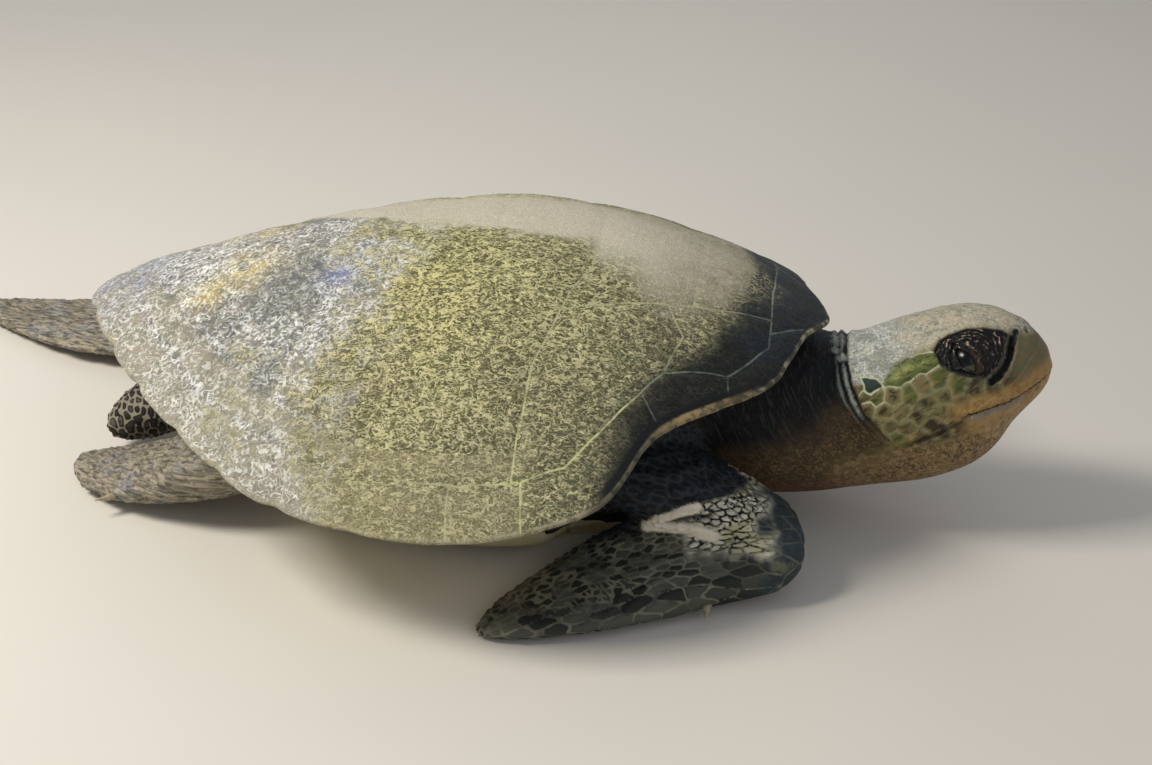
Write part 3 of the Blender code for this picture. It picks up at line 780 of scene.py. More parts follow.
def trunk_rings(sides):
    """Rings of the trunk, from inside the shell round to the belly."""
    turn = np.arange(sides) / sides
    inset = MARGIN_DEPTH + 0.0012
    upper = rim_curve(inset, MARGIN_EDGE + 0.0010)
    lower = rim_curve(inset, MARGIN_EDGE + 0.0030)
    turn = even_turn(upper, turn)
    rings = [dome(upper, SHELL_TOP - SHELL_WALL - 0.0015, turn, np.full(sides, share))
             for share in (0.88, 0.92, 0.96, 0.985, 1.0)]
    rings += [bowl(lower, PLATE + 0.0004, turn, np.full(sides, share)) for share in np.linspace(1, 0, 22)]
    return np.array(rings)


def moved(stations, shift):
    """Stations moved by a shift, whose y is outwards."""
    return tuple(tuple(a + b for a, b in zip(s[:3], shift)) + tuple(s[3:]) for s in stations)


LIMBS = (
    ("arm_right", ARM, -1), ("arm_left", moved(ARM, LEFT_FRONT_SHIFT), 1),
    ("flipper_front_right", FRONT_BLADE, -1), ("flipper_front_left", moved(FRONT_BLADE, LEFT_FRONT_SHIFT), 1),
    ("flipper_hind_right", HIND_RIGHT, -1), ("flipper_hind_left", HIND_LEFT, 1), ("tail", TAIL, -1),
)


# Level, by x, above which the shell hides the skin, and the hidden share of the belly shell's outline
HIDDEN_LEVEL = ((-0.336, 0.138), (-0.093, 0.106), (0.100, 0.115), (0.205, 0.150), (0.336, 0.172))
HIDDEN_BELLY = 0.93


def raw_skin(voxel):
    """One closed surface round trunk, neck, head, limbs and tail."""
    shape = bmesh.new()
    add_tube(shape, trunk_rings(300))
    add_tube(shape, neck_and_head_rings(6, 72))
    for _, stations, side in LIMBS:
        add_tube(shape, limb_rings(stations, side, 8, 48))
    return shaped(mesh_of(shape, "raw_skin"), 'REMESH', mode='VOXEL', voxel_size=voxel)


def thinned(mesh, share):
    """Fewer faces on the trunk's plain skin and on the limbs' undersides."""
    points = read_points(mesh)
    measure = limb_fields(points)[2]
    trunk = (measure > 1.5) & ((points[:, 0] < 0.10) | (points[:, 2] < 0.05))
    plain = trunk | (points[:, 2] < 0.010)
    return shaped(mesh, 'DECIMATE', group=plain, ratio=1 - plain.mean() * (1 - share))


def drop_hidden(mesh):
    """Take out the skin that shell and belly shell hide, and close the holes plainly."""
    shape = bmesh.new()
    shape.from_mesh(mesh)
    shape.faces.ensure_lookup_table()
    centres = np.array([face.calc_center_median() for face in shape.faces])
    lids = np.array([face.normal.z for face in shape.faces])
    inner = rim_curve(MARGIN_DEPTH + 0.016, MARGIN_EDGE)
    under_shell = inside_of(centres[:, :2], [tuple(p) for p in inner[::12, :2]])
    top = under_shell & (centres[:, 2] > from_table(centres[:, 0], HIDDEN_LEVEL))
    plan = [(x, y) for x, y in PLASTRON] + [(x, -y) for x, y in PLASTRON[-2:0:-1]]
    plan = [(x * HIDDEN_BELLY, y * HIDDEN_BELLY) for x, y in plan]
    belly = inside_of(centres[:, :2], plan) & (lids < -0.35) & (centres[:, 2] < 0.100)
    doomed = [face for face, out in zip(shape.faces, top | belly) if out]
    bmesh.ops.delete(shape, geom=doomed, context='FACES')
    loose = [vert for vert in shape.verts if not vert.link_faces]
    bmesh.ops.delete(shape, geom=loose, context='VERTS')
    drop_islands(shape)
    bmesh.ops.holes_fill(shape, edges=[edge for edge in shape.edges if edge.is_boundary], sides=0)
    shape.to_mesh(mesh)
    shape.free()


def drop_islands(shape):
    """Keep only the largest connected body."""
    left = set(shape.verts)
    islands = []
    while left:
        grown, front = set(), [left.pop()]
        while front:
            vert = front.pop()
            grown.add(vert)
            for edge in vert.link_edges:
                other = edge.other_vert(vert)
                if other in left:
                    left.discard(other)
                    front.append(other)
        islands.append(grown)
    islands.sort(key=len)
    for island in islands[:-1]:
        bmesh.ops.delete(shape, geom=list(island), context='VERTS')


def refine(mesh, wanted):
    """Split the faces whose vertices are all wanted, and smooth the new ones."""
    shape = bmesh.new()
    shape.from_mesh(mesh)
    points = np.array([vert.co for vert in shape.verts])
    flags = wanted(points)
    shape.verts.ensure_lookup_table()
    edges = [edge for edge in shape.edges
             if flags[edge.verts[0].index] and flags[edge.verts[1].index]
             and all(len(face.verts) <= 4 for face in edge.link_faces)]
    bmesh.ops.subdivide_edges(shape, edges=edges, cuts=1, use_grid_fill=True)
    many = [face for face in shape.faces if 4 < len(face.verts) < 12]
    bmesh.ops.triangulate(shape, faces=many)
    shape.to_mesh(mesh)
    shape.free()
    points = read_points(mesh)
    edges = read_edges(mesh)
    fine = wanted(points).astype(float)
    write_points(mesh, spread(points, edges, 3, 0.5, fine))


def fillet(mesh, voxel):
    """Round the inner corners where limbs and neck leave the trunk."""
    points, edges = read_points(mesh), read_edges(mesh)
    points = spread(points, edges, 3)
    write_points(mesh, points)
    normals = read_points(mesh, "normal")
    hollow = ((spread(points, edges, 1, 1.0) - points) * normals).sum(1)
    crease = step_up(hollow, 0.05 * voxel, 0.16 * voxel)
    corner = np.clip(spread(crease, edges, 10, 0.7) * 3.0, 0, 1)
    write_points(mesh, spread(points, edges, 28, 0.6, corner))


def eye_chart(head):
    """Place of head points as seen square on to the eye: along, up and out."""
    side = abs(head[:, 1]) - EYE[1]
    level = head[:, 2] - EYE[2]
    along = head[:, 0] - EYE[0]
    rise = EYE_OUT[1] * level - EYE_OUT[2] * side
    out = EYE_OUT[1] * side + EYE_OUT[2] * level
    return np.column_stack([along, rise]), out


def slit_depth(chart):
    """How far a chart point is inside the slit between the lids."""
    c, s = math.cos(SLIT_TURN), math.sin(SLIT_TURN)
    a, b = chart[:, 0] - SLIT_MIDDLE[0], chart[:, 1] - SLIT_MIDDLE[1]
    along, over = a * c + b * s, -a * s + b * c
    share = abs(along / SLIT_HALF_LENGTH)
    inside = SLIT_HALF_WIDTH * (1 - share ** 2.2) - abs(over)
    beyond = SLIT_HALF_LENGTH - abs(along)
    return np.where(share < 1, inside, np.minimum(inside, beyond))


# Heights of the relief round the eye, negative where it is pressed in
LID_CREST = 0.0016
LID_PLEAT = 0.0009
LID_OPENING = -0.0060
LID_BED = -0.0014
BROW_RISE = 0.0014
GROOVE_DEPTH = -0.0050
GROOVE_WIDTH = 0.0028
GROOVE_LIP = 0.0012


def eye_relief(head):
    """Lids, slit, groove and brow, as a shift along the eye's outward direction."""
    chart, out = eye_chart(head)
    facing = step_up(out, -0.004, 0.004) * step_up(abs(head[:, 1]), 0.010, 0.016)
    oval = depth_in(chart, LID_OUTLINE)
    slit = slit_depth(chart)
    radius = np.linalg.norm(chart, axis=1).clip(0, 0.0182)
    ball = np.sqrt((EYE_RADIUS + LID_THICKNESS) ** 2 - radius ** 2) - EYE_SET_BACK
    hug = step_up(slit, -0.0085, -0.0005)
    shift = (ball - out) * hug
    # Loose, uneven wrinkles ring the slit about 5 mm apart, with small pleats over them
    beyond = -slit + 0.0040 * roughness_of(head, 0.012, 61.0, 2)
    beyond += 0.0018 * roughness_of(head, 0.0042, 63.0, 2)
    crest = 0.5 + 0.5 * np.cos((beyond - 0.0020) * 2 * np.pi / LID_WRINKLES)
    broken = (0.50 + 1.3 * roughness_of(head, 0.0055, 67.0, 2)).clip(0.02, 1)
    crest = crest ** 2.4 * broken * step_up(beyond, 0.0004, 0.0016) * step_up(oval, -0.0005, 0.0020)
    pleat = roughness_of(head, 0.0030, 69.0, 2)
    wrinkle = (LID_CREST * crest + LID_PLEAT * pleat - 0.0005) * step_up(oval, 0.0, 0.002)
    wrinkle *= step_up(-slit, 0.0002, 0.0012)
    opening = LID_OPENING * step_up(slit, -0.0002, 0.0011)
    bed = LID_BED * step_up(oval, -0.001, 0.003) * (1 - hug)
    brow = BROW_RISE * bump_of(oval + 0.0022, 0.0024) * step_up(chart[:, 1], -0.004, 0.006)
    low = step_up(-chart[:, 1], -0.001, 0.005) * step_up(0.022 - chart[:, 0], 0.0, 0.008)
    margin = bump_of(oval - 0.0010, 0.0012) * low
    margin_relief = 0.0012 * margin - 0.0014 * bump_of(oval - 0.0040, 0.0012) * low
    groove_way, _ = to_line(chart, [LID_GROOVE])
    groove_way = (groove_way + 0.0014 * roughness_of(head, 0.007, 65.0, 2)).clip(0)
    groove = GROOVE_DEPTH * bump_of(groove_way, GROOVE_WIDTH)
    lip = GROOVE_LIP * bump_of(groove_way - 0.0048, 0.0015)
    relief = (shift + wrinkle + opening + bed + brow + margin_relief + groove + lip) * facing
    brown = bump_of(slit + 0.0042, 0.0026) * step_up(chart[:, 0], 0.001, 0.009) * facing
    return relief, dict(oval=oval, groove=groove_way, crest=(crest + 0.35 * pleat).clip(0, 1) * facing,
                        rise=chart[:, 1], lid_margin=margin * facing, lid_brown=brown)


# The collar's line as (height, way forward), its folds as (way, strength), and the lobes
# where they meet at the nape, as (x, distance from the middle, z, radius)
COLLAR_LINE = (
    (-0.045, 0.0360), (-0.023, 0.0207), (-0.013, 0.0141), (0.000, 0.0079),
    (0.0135, 0.0034), (0.024, 0.0012), (0.035, 0.0005), (0.060, 0.0000),
)
COLLAR_FOLDS = ((-0.0024, 1.0), (-0.0088, 0.8))
COLLAR_LOBES = (
    (-0.0050, 0.0050, 0.0465, 0.0085), (-0.0080, 0.0165, 0.0410, 0.0070), (-0.0025, 0.0250, 0.0395, 0.0060),
)


COLLAR_RISE = 0.0024            # height of the collar's folds
COLLAR_WIDTH = 0.0027           # their half width
COLLAR_GAP = 0.0022             # depth of the gaps between them
LOBE_RISE = 0.0016
NECK_WRINKLE_RISE = 0.0008


def collar_place(head):
    """Way along the neck, measured from the curved line of the collar."""
    return head[:, 0] - from_table(head[:, 2], COLLAR_LINE)


def collar_relief(head):
    """Folds of loose skin behind the head, and the wrinkles of the neck."""
    way = collar_place(head)
    way = way + 0.0020 * roughness_of(head, 0.024, 71.0, 2)
    relief = np.zeros(len(head))
    pale = np.zeros(len(head))
    for place, strength in COLLAR_FOLDS:
        uneven = strength * (0.85 + 0.4 * roughness_of(head, 0.022, 73.0 + 100 * place, 1))
        ridge = bump_of(way - place, COLLAR_WIDTH)
        relief += COLLAR_RISE * uneven * ridge
        pale += uneven * ridge
    gap = bump_of(way - 0.0014, 0.0021) + 0.8 * bump_of(way + 0.0058, 0.0019)
    relief -= COLLAR_GAP * gap
    fade = step_up(head[:, 2], -0.044, 0.012)
    nape = 1 + 0.15 * step_up(head[:, 2], 0.022, 0.040)
    rear_edge = 0.0013 * bump_of(way - 0.0064, 0.0030)
    lobes = np.zeros(len(head))
    for x, y, z, radius in COLLAR_LOBES:
        away = np.sqrt((head[:, 0] - x) ** 2 + (abs(head[:, 1]) - y) ** 2 + (head[:, 2] - z) ** 2)
        lobes = np.maximum(lobes, bump_of(away, radius))
    loose = way + 0.0030 * roughness_of(head, 0.024, 75.0, 3)
    uneven = (0.6 + 0.7 * roughness_of(head, 0.018, 79.0, 2)).clip(0, 1.2)
    folds = NECK_WRINKLE_RISE * np.cos(loose * 2 * np.pi / NECK_WRINKLES) * uneven
    folds *= step_up(-way, 0.013, 0.020) * step_up(head[:, 2], -0.060, -0.020)
    relief = (relief * nape + rear_edge) * fade + LOBE_RISE * lobes + folds
    return relief, np.maximum(pale * fade, 1.2 * lobes), gap.clip(0, 1) * fade * (1 - lobes), way


def as_right_flipper(points):
    """Points, with those of the left front flipper moved onto the right one."""
    places = points.copy()
    left = points[:, 1] > 0
    places[left] = (points[left] - np.array(LEFT_FRONT_SHIFT)) * (1, -1, 1)
    return places


# Level up to which the bend of a front flipper is worn pale, as (x, z); above it the arm is painted nearly
# black as painted shade
PAW_TOP = (
    (0.150, 0.040), (0.190, 0.055), (0.197, 0.0618), (0.209, 0.0744), (0.221, 0.0814), (0.239, 0.0867),
    (0.253, 0.0884), (0.273, 0.0897), (0.294, 0.0803), (0.312, 0.0740), (0.335, 0.0700),
)
# Two smooth folds of skin at the inner edge of a front flipper, and the gap between
FOLD_UPPER = (
    (0.197, -0.1663, 0.0588), (0.209, -0.1700, 0.0687), (0.229, -0.1710, 0.0796), (0.238, -0.1670, 0.0820),
)
FOLD_LOWER = (
    (0.197, -0.1663, 0.0585), (0.207, -0.1685, 0.0605), (0.235, -0.1737, 0.0630), (0.2545, -0.1720, 0.0590),
)
FOLD_GAP = (
    (0.216, -0.1715, 0.0665), (0.2236, -0.1730, 0.0693), (0.2342, -0.1728, 0.0726), (0.2512, -0.1704, 0.0770),
)


UPPER_FOLD_RISE = 0.0030
LOWER_FOLD_RISE = 0.0036
FOLD_GAP_DEPTH = 0.0052


def flipper_folds(points):
    """Relief and masks of the two folds of each front flipper."""
    places = as_right_flipper(points)
    upper, lower, gap = (to_run(places, run) for run in (FOLD_UPPER, FOLD_LOWER, FOLD_GAP))
    relief = UPPER_FOLD_RISE * bump_of(upper, 0.0050) + LOWER_FOLD_RISE * bump_of(lower, 0.0070)
    relief -= FOLD_GAP_DEPTH * bump_of(gap, 0.0026)
    smooth = np.maximum(bump_of(upper, 0.0052), bump_of(lower, 0.0068))
    return relief, step_up(smooth, 0.36, 0.60) * (1 - bump_of(gap, 0.0020)), bump_of(gap, 0.0024)


# How much longer than wide the scales are: arms, front blades, hind flippers, tail
STRETCHES = np.array((1.8, 1.8, 2.8, 2.8, 5.0, 5.0, 0.6))
LIMB_SPACING = 10               # metres that keep the limbs' drawn-in places apart
# Numbers in LIMBS: arms and front blades come up to LAST_FRONT
LAST_FRONT = 3
HIND_KINDS = (4, 5)
TAIL_KIND = 6
NECK_OVAL = (0.097, 0.083, 0.077)       # level, half width and half height of the neck's root
SCATTER_CELL = 0.004
SAME_PLACE = 0.0005
FAR = 9.0                       # farther than anything on the turtle


def shield_points():
    """Head shield points in the head's frame, with the number of their shield."""
    points, labels = [], []
    for number, group in enumerate(MIDDLE_SHIELDS.values()):
        points += list(group)
        labels += [number] * len(group)
    number = len(MIDDLE_SHIELDS)
    for group in SIDE_SHIELDS.values():
        for side in (-1, 1):
            points += [(x, y * side, z) for x, y, z in group]
            labels += [number] * len(group)
            number += 1
    return np.array(points), np.array(labels)


def cell_fields(points, seeds, labels):
    """For each point its cell, the way to the cell's border, and the way out to it."""
    tree = KDTree(len(seeds))
    for number, seed in enumerate(seeds):
        tree.insert(seed, number)
    tree.balance()
    own = np.empty(len(points), int)
    other = np.empty(len(points), int)
    for number, point in enumerate(points):
        found = [item[1] for item in tree.find_n(point, 6)]
        own[number] = found[0]
        rival = [item for item in found if labels[item] != labels[found[0]]]
        other[number] = rival[0] if rival else found[-1]
    between = seeds[other] - seeds[own]
    length = np.linalg.norm(between, axis=1).clip(1e-6)
    middle = (seeds[other] + seeds[own]) / 2
    border = ((middle - points) * between).sum(1) / length
    return labels[own], border.clip(0), between / length[:, None]


def snap_to_borders(points, normals, border, direction, reach):
    """Slide vertices that are nearly on a cell's border onto it, along the skin."""
    tangent = direction - normals * (direction * normals).sum(1)[:, None]
    share = (tangent ** 2).sum(1) / (direction ** 2).sum(1)
    near = (border < reach) & (share > 0.15)
    slide = np.where(near, border / share.clip(0.15), 0)[:, None] * tangent
    return points + slide, np.where(near, 0, border)


def scattered(points, gaps, seed):
    """Seeds picked from the points so that no two are nearer than their gap."""
    key = np.round(points / SAME_PLACE).astype(int)
    order = np.lexsort((key[:, 2], key[:, 1], key[:, 0]))
    order = order[np.random.default_rng(seed).permutation(len(order))]
    taken, kept = {}, []
    for number in order:
        gap, place = gaps[number], points[number]
        home = tuple(np.floor(place / SCATTER_CELL).astype(int))
        reach = int(gap / SCATTER_CELL) + 1
        around = product(*(range(at - reach, at + reach + 1) for at in home))
        rivals = (rival for near in around for rival in taken.get(near, ()))
        if all(((rival - place) ** 2).sum() >= gap * gap for rival in rivals):
            taken.setdefault(home, []).append(place)
            kept.append(number)
    return np.array(kept)


def limb_fields(points):
    """Nearest limb of each point, how far across it, its measure, drawn-in place and heading."""
    count = len(points)
    best = np.full(count, FAR)
    across, kind = np.zeros(count), np.zeros(count, int)
    drawn, heading = np.zeros((count, 3)), np.zeros((count, 2))
    for number, (_, stations, side) in enumerate(LIMBS):
        run = smooth_run(stations, 6)
        line = run[:, :2] * (1, side)
        steps = np.linalg.norm(np.diff(line, axis=0), axis=1)
        units = np.diff(line, axis=0) / steps[:, None]
        nearest = np.full(count, FAR)
        place, outward = np.zeros(count), np.zeros(count)
        for index, (step, unit) in enumerate(zip(steps, units)):
            share = np.clip(((points[:, :2] - line[index]) @ unit) / step, 0, 1)
            offset = points[:, :2] - line[index] - share[:, None] * step * unit
            reach = np.linalg.norm(offset, axis=1)
            near = reach < nearest
            nearest[near] = reach[near]
            place[near] = (index + share)[near]
            outward[near] = np.sign(offset[:, 0] * unit[1] - offset[:, 1] * unit[0])[near]
        stops = np.arange(len(line))
        wide = np.interp(place, stops, run[:, 3]) + 0.004
        thick = np.interp(place, stops, run[:, 4]) + 0.006
        level = abs(points[:, 2] - np.interp(place, stops, run[:, 2])) / thick
        measure = np.maximum(nearest / wide, level * 0.9)
        near = measure < best
        best[near] = measure[near]
        across[near] = (outward * side * nearest / wide)[near]
        kind[near] = number
        lengths = np.concatenate([[0], np.cumsum(steps)])
        way = np.interp(place, stops, lengths) / STRETCHES[number] + LIMB_SPACING * number
        drawn[near] = np.column_stack([way, outward * nearest, points[:, 2]])[near]
        heading[near] = units[place.astype(int).clip(0, len(units) - 1)][near]
    return kind, across, best, drawn, heading


def undrawn(way, direction, heading, stretch):
    """Way and direction to a border of the drawn-in places, turned back to the body's."""
    along, outward = direction[:, 0] / stretch, direction[:, 1]
    turned = np.column_stack([
        along * heading[:, 0] + outward * heading[:, 1], along * heading[:, 1] - outward * heading[:, 0],
        direction[:, 2]])
    length = np.linalg.norm(turned, axis=1)
    return way / length, turned / length[:, None]


def skin_mesh(settings):
    """The skin with its folds, lids, shields and scales, and its material fields."""
    voxel = settings.skin_voxel
    mesh = raw_skin(voxel)
    fillet(mesh, voxel)
    drop_hidden(mesh)
    mesh = thinned(mesh, settings.plain_share)
    refine(mesh, near_head)
    refine(mesh, near_eye)
    refine(mesh, near_bend)
    points, edges, normals = read_points(mesh), read_edges(mesh), read_points(mesh, "normal")
    head = in_head(points)
    turn = np.array(Matrix.Rotation(-HEAD_PITCH, 3, 'Y'))
    relief, fields = eye_relief(head)
    side = np.sign(head[:, 1])
    outward = np.column_stack([np.zeros(len(head)), EYE_OUT[1] * side, np.full(len(head), EYE_OUT[2])])
    points = points + (outward @ turn.T) * (relief * step_up(head[:, 0], 0.055, 0.065))[:, None]
    folds, pale, gap, collar = collar_relief(head)
    face, nostril, crease = face_relief(head)
    pleats, fold_skin, fold_crack = flipper_folds(points)
    body, rows = body_wrinkles(points, head)
    points = points + normals * (folds + face + pleats + body)[:, None]
    write_points(mesh, points)
    normals = read_points(mesh, "normal")
    fields.update(collar_pale=pale, collar_gap=gap, collar=collar, nostril=nostril, crease=crease,
                  fold_skin=fold_skin, fold_crack=fold_crack, rows=rows)
    points = add_cells(settings, points, normals, head, fields)
    points[:, 2] = points[:, 2].clip(0.0)
    write_points(mesh, points)
    for name, values in skin_zones(points, head, fields, edges).items():
        store(mesh, name, values)
    return mesh


MOUTH_DEPTH = 0.0026
CREASE_DEPTH = 0.0018
NOSTRIL_DEPTH = 0.0040
BODY_WRINKLE_RISE = 0.0012


def face_relief(head):
    """Mouth, its crease and the nostrils."""
    side_view = head[:, [0, 2]]
    mouth, _ = to_line(side_view, [MOUTH])
    crease, _ = to_line(side_view, [MOUTH_CREASE])
    front = step_up(head[:, 0], 0.088, 0.100)
    above = head[:, 2] > from_table(head[:, 0], MOUTH[::-1])
    relief = -MOUTH_DEPTH * bump_of(mouth, 0.0012) * front
    relief += np.where(above, 0.0010, -0.0006) * bump_of(mouth, 0.0055) * front
    relief -= CREASE_DEPTH * bump_of(crease, 0.0020) * (1 - front)
    relief += 0.0010 * bump_of(crease - 0.004, 0.0022) * (1 - front)
    place = np.column_stack([head[:, 0], abs(head[:, 1]), head[:, 2]])
    hole = np.linalg.norm(place - NOSTRIL, axis=1)
    relief += 0.0008 * bump_of(hole - 0.0042, 0.0016) - NOSTRIL_DEPTH * bump_of(hole, 0.0022)
    return relief, bump_of(hole, 0.0026), crease * (1 - front) + 0.02 * front


def body_wrinkles(points, head):
    """Wrinkles of the front arches, hind arches and tail root, and where they crest."""
    outer = rim_curve(0.0, 0.0)
    bearing = np.arctan2(outer[:, 1], outer[:, 0] - SHELL_CENTRE[0])
    order = np.argsort(bearing)
    own = np.arctan2(points[:, 1], points[:, 0] - SHELL_CENTRE[0])
    rim_level = np.interp(own, bearing[order], outer[order, 2], period=2 * np.pi)
    drop = rim_level - points[:, 2] + 0.0035 * roughness_of(points, 0.035, 83.0, 2)
    side = abs(points[:, 1])
    front = step_up(points[:, 0], 0.13, 0.17) * step_up(0.285 - points[:, 0], 0.0, 0.03)
    front *= step_up(side, 0.085, 0.11)
    rear = step_up(-points[:, 0], 0.10, 0.15)
    wave = np.cos(drop * 2 * np.pi / BODY_WRINKLES)
    uneven = (0.65 + 0.6 * roughness_of(points, 0.018, 87.0, 2)).clip(0.1, 1.2)
    trunk = np.maximum(front, 0.8 * rear)
    return BODY_WRINKLE_RISE * wave * uneven * trunk, (0.5 + 0.5 * wave) * uneven * trunk


def near_head(points):
    """Where the skin has to be fine: head and collar."""
    head = in_head(points)
    return (head[:, 0] > -0.014) & (head[:, 2] > -0.046)


def near_eye(points):
    """Where the skin has to be finest: lids and their surroundings."""
    head = in_head(points)
    chart, out = eye_chart(head)
    return (depth_in(chart, LID_OUTLINE) > -0.0015) & (out > -0.002) & (head[:, 0] > 0.06)


def near_bend(points):
    """Where the front flippers bend, with their folds and worn scales."""
    place = as_right_flipper(points)
    low = (place[:, 2] > 0.030) & (place[:, 2] < from_table(place[:, 0], PAW_TOP) + 0.005)
    return (place[:, 0] > 0.190) & (place[:, 0] < 0.312) & (place[:, 1] < -0.122) & low


def add_cells(settings, points, normals, head, fields):
    """Shields on the head, scales on lids, limbs and throat, in relief."""
    count = len(points)
    border, tone, cells = np.full(count, 0.02), np.zeros(count), np.full(count, -1)
    turn = np.array(Matrix.Rotation(-HEAD_PITCH, 3, 'Y'))
    # Head shields
    seeds, labels = shield_points()
    pick = np.flatnonzero((head[:, 0] > 0.003) & (head[:, 2] > -0.036) & (fields["oval"] < 0.0005)
                          & (head[:, 0] < 0.158) & (fields["groove"] > 0.0025))
    wobble = np.column_stack([roughness_of(head[pick], 0.012, s, 2) for s in (91.0, 93.0, 95.0)])
    cell, way, direction = cell_fields(head[pick] + 0.0022 * wobble, seeds, labels)
    points[pick], way = snap_to_borders(points[pick], normals[pick], way, direction @ turn.T, 0.0007)
    side = step_up(abs(head[pick][:, 1]), 0.030, 0.045)
    lift = (0.0004 + 0.0008 * side) * (1 - bump_of(way, 0.0020)) - 0.0004
    points[pick] += normals[pick] * lift[:, None]
    border[pick], cells[pick] = way, cell
    tone[pick] = np.random.default_rng(4).random(labels.max() + 1)[cell]
    # Scales of the limbs, longer than wide
    kind, across, measure, drawn, heading = limb_fields(points)
    level, wide, high = NECK_OVAL
    neck = np.hypot(points[:, 1] / wide, (points[:, 2] - level) / high)
    limb = (measure < 1.30) & (head[:, 0] < -0.02) & ~((points[:, 0] > 0.20) & (neck < measure + 0.12))
    place = as_right_flipper(points)
    front = (kind <= LAST_FRONT) & limb
    above = place[:, 2] - from_table(place[:, 0], PAW_TOP)
    paw = front * step_up(-above + 0.0012 * roughness_of(place, 0.010, 97.0, 2), -0.0015, 0.0015)
    uneven = 0.007 * roughness_of(place, 0.018, 99.0, 3)
    edge_row = step_up(across, 0.45, 0.8)
    plates = step_up(place[:, 0] + uneven, 0.288, 0.300) * (place[:, 1] > -0.21)
    gaps = 0.0042 + 0.0045 * edge_row * (kind >= 2) + 0.0060 * plates
    gaps = np.where(kind > LAST_FRONT, 0.0075 + 0.0025 * edge_row, gaps)
    pick = np.flatnonzero(limb)
    kept = scattered(drawn[pick], gaps[pick], 9)
    cell, way, direction = cell_fields(drawn[pick], drawn[pick][kept], np.arange(len(kept)))
    way, direction = undrawn(way, direction, heading[pick], STRETCHES[kind[pick]])
    reach = np.where(near_bend(points[pick]), 0.22, 0.42) * settings.skin_voxel
    points[pick], way = snap_to_borders(points[pick], normals[pick], way, direction, reach)
    # The worn scales of the bend stand up between deep black cracks
    worn = paw * step_up(place[:, 0] + uneven, 0.226, 0.238)
    worn *= step_up(0.306 - place[:, 0] + 2.4 * uneven, 0.0, 0.020)
    worn *= step_up(place[:, 2] + uneven, 0.043, 0.056) * (1 - fields["fold_skin"])
    smooth = 1 - fields["fold_skin"][pick]
    depth = (0.0009 + 0.0011 * worn[pick]) * smooth
    points[pick] += normals[pick] * (depth * (1 - bump_of(way, 0.0019)) - depth * 0.4)[:, None]
    border[pick], cells[pick] = way, 1000 + cell
    tone[pick] = np.random.default_rng(10).random(len(kept))[cell]
    fields.update(border=border, tone=tone, cells=cells, kind=kind, limb=limb, worn=worn, paw=paw,
                  front=front, limb_way=drawn[:, 0] - LIMB_SPACING * kind, limb_out=drawn[:, 1],
                  plate=paw * step_up(place[:, 0] - 1.6 * uneven, 0.294, 0.304) * (place[:, 1] > -0.21))
    return points


# Lower edge of the crown's paler skin, as (x, z) in the head's frame
CROWN_EDGE = (
    (0.000, 0.0240), (0.030, 0.0225), (0.045, 0.0340), (0.070, 0.0400),
    (0.080, 0.0430), (0.120, 0.0450), (0.150, 0.0300), (0.170, 0.0180),
)


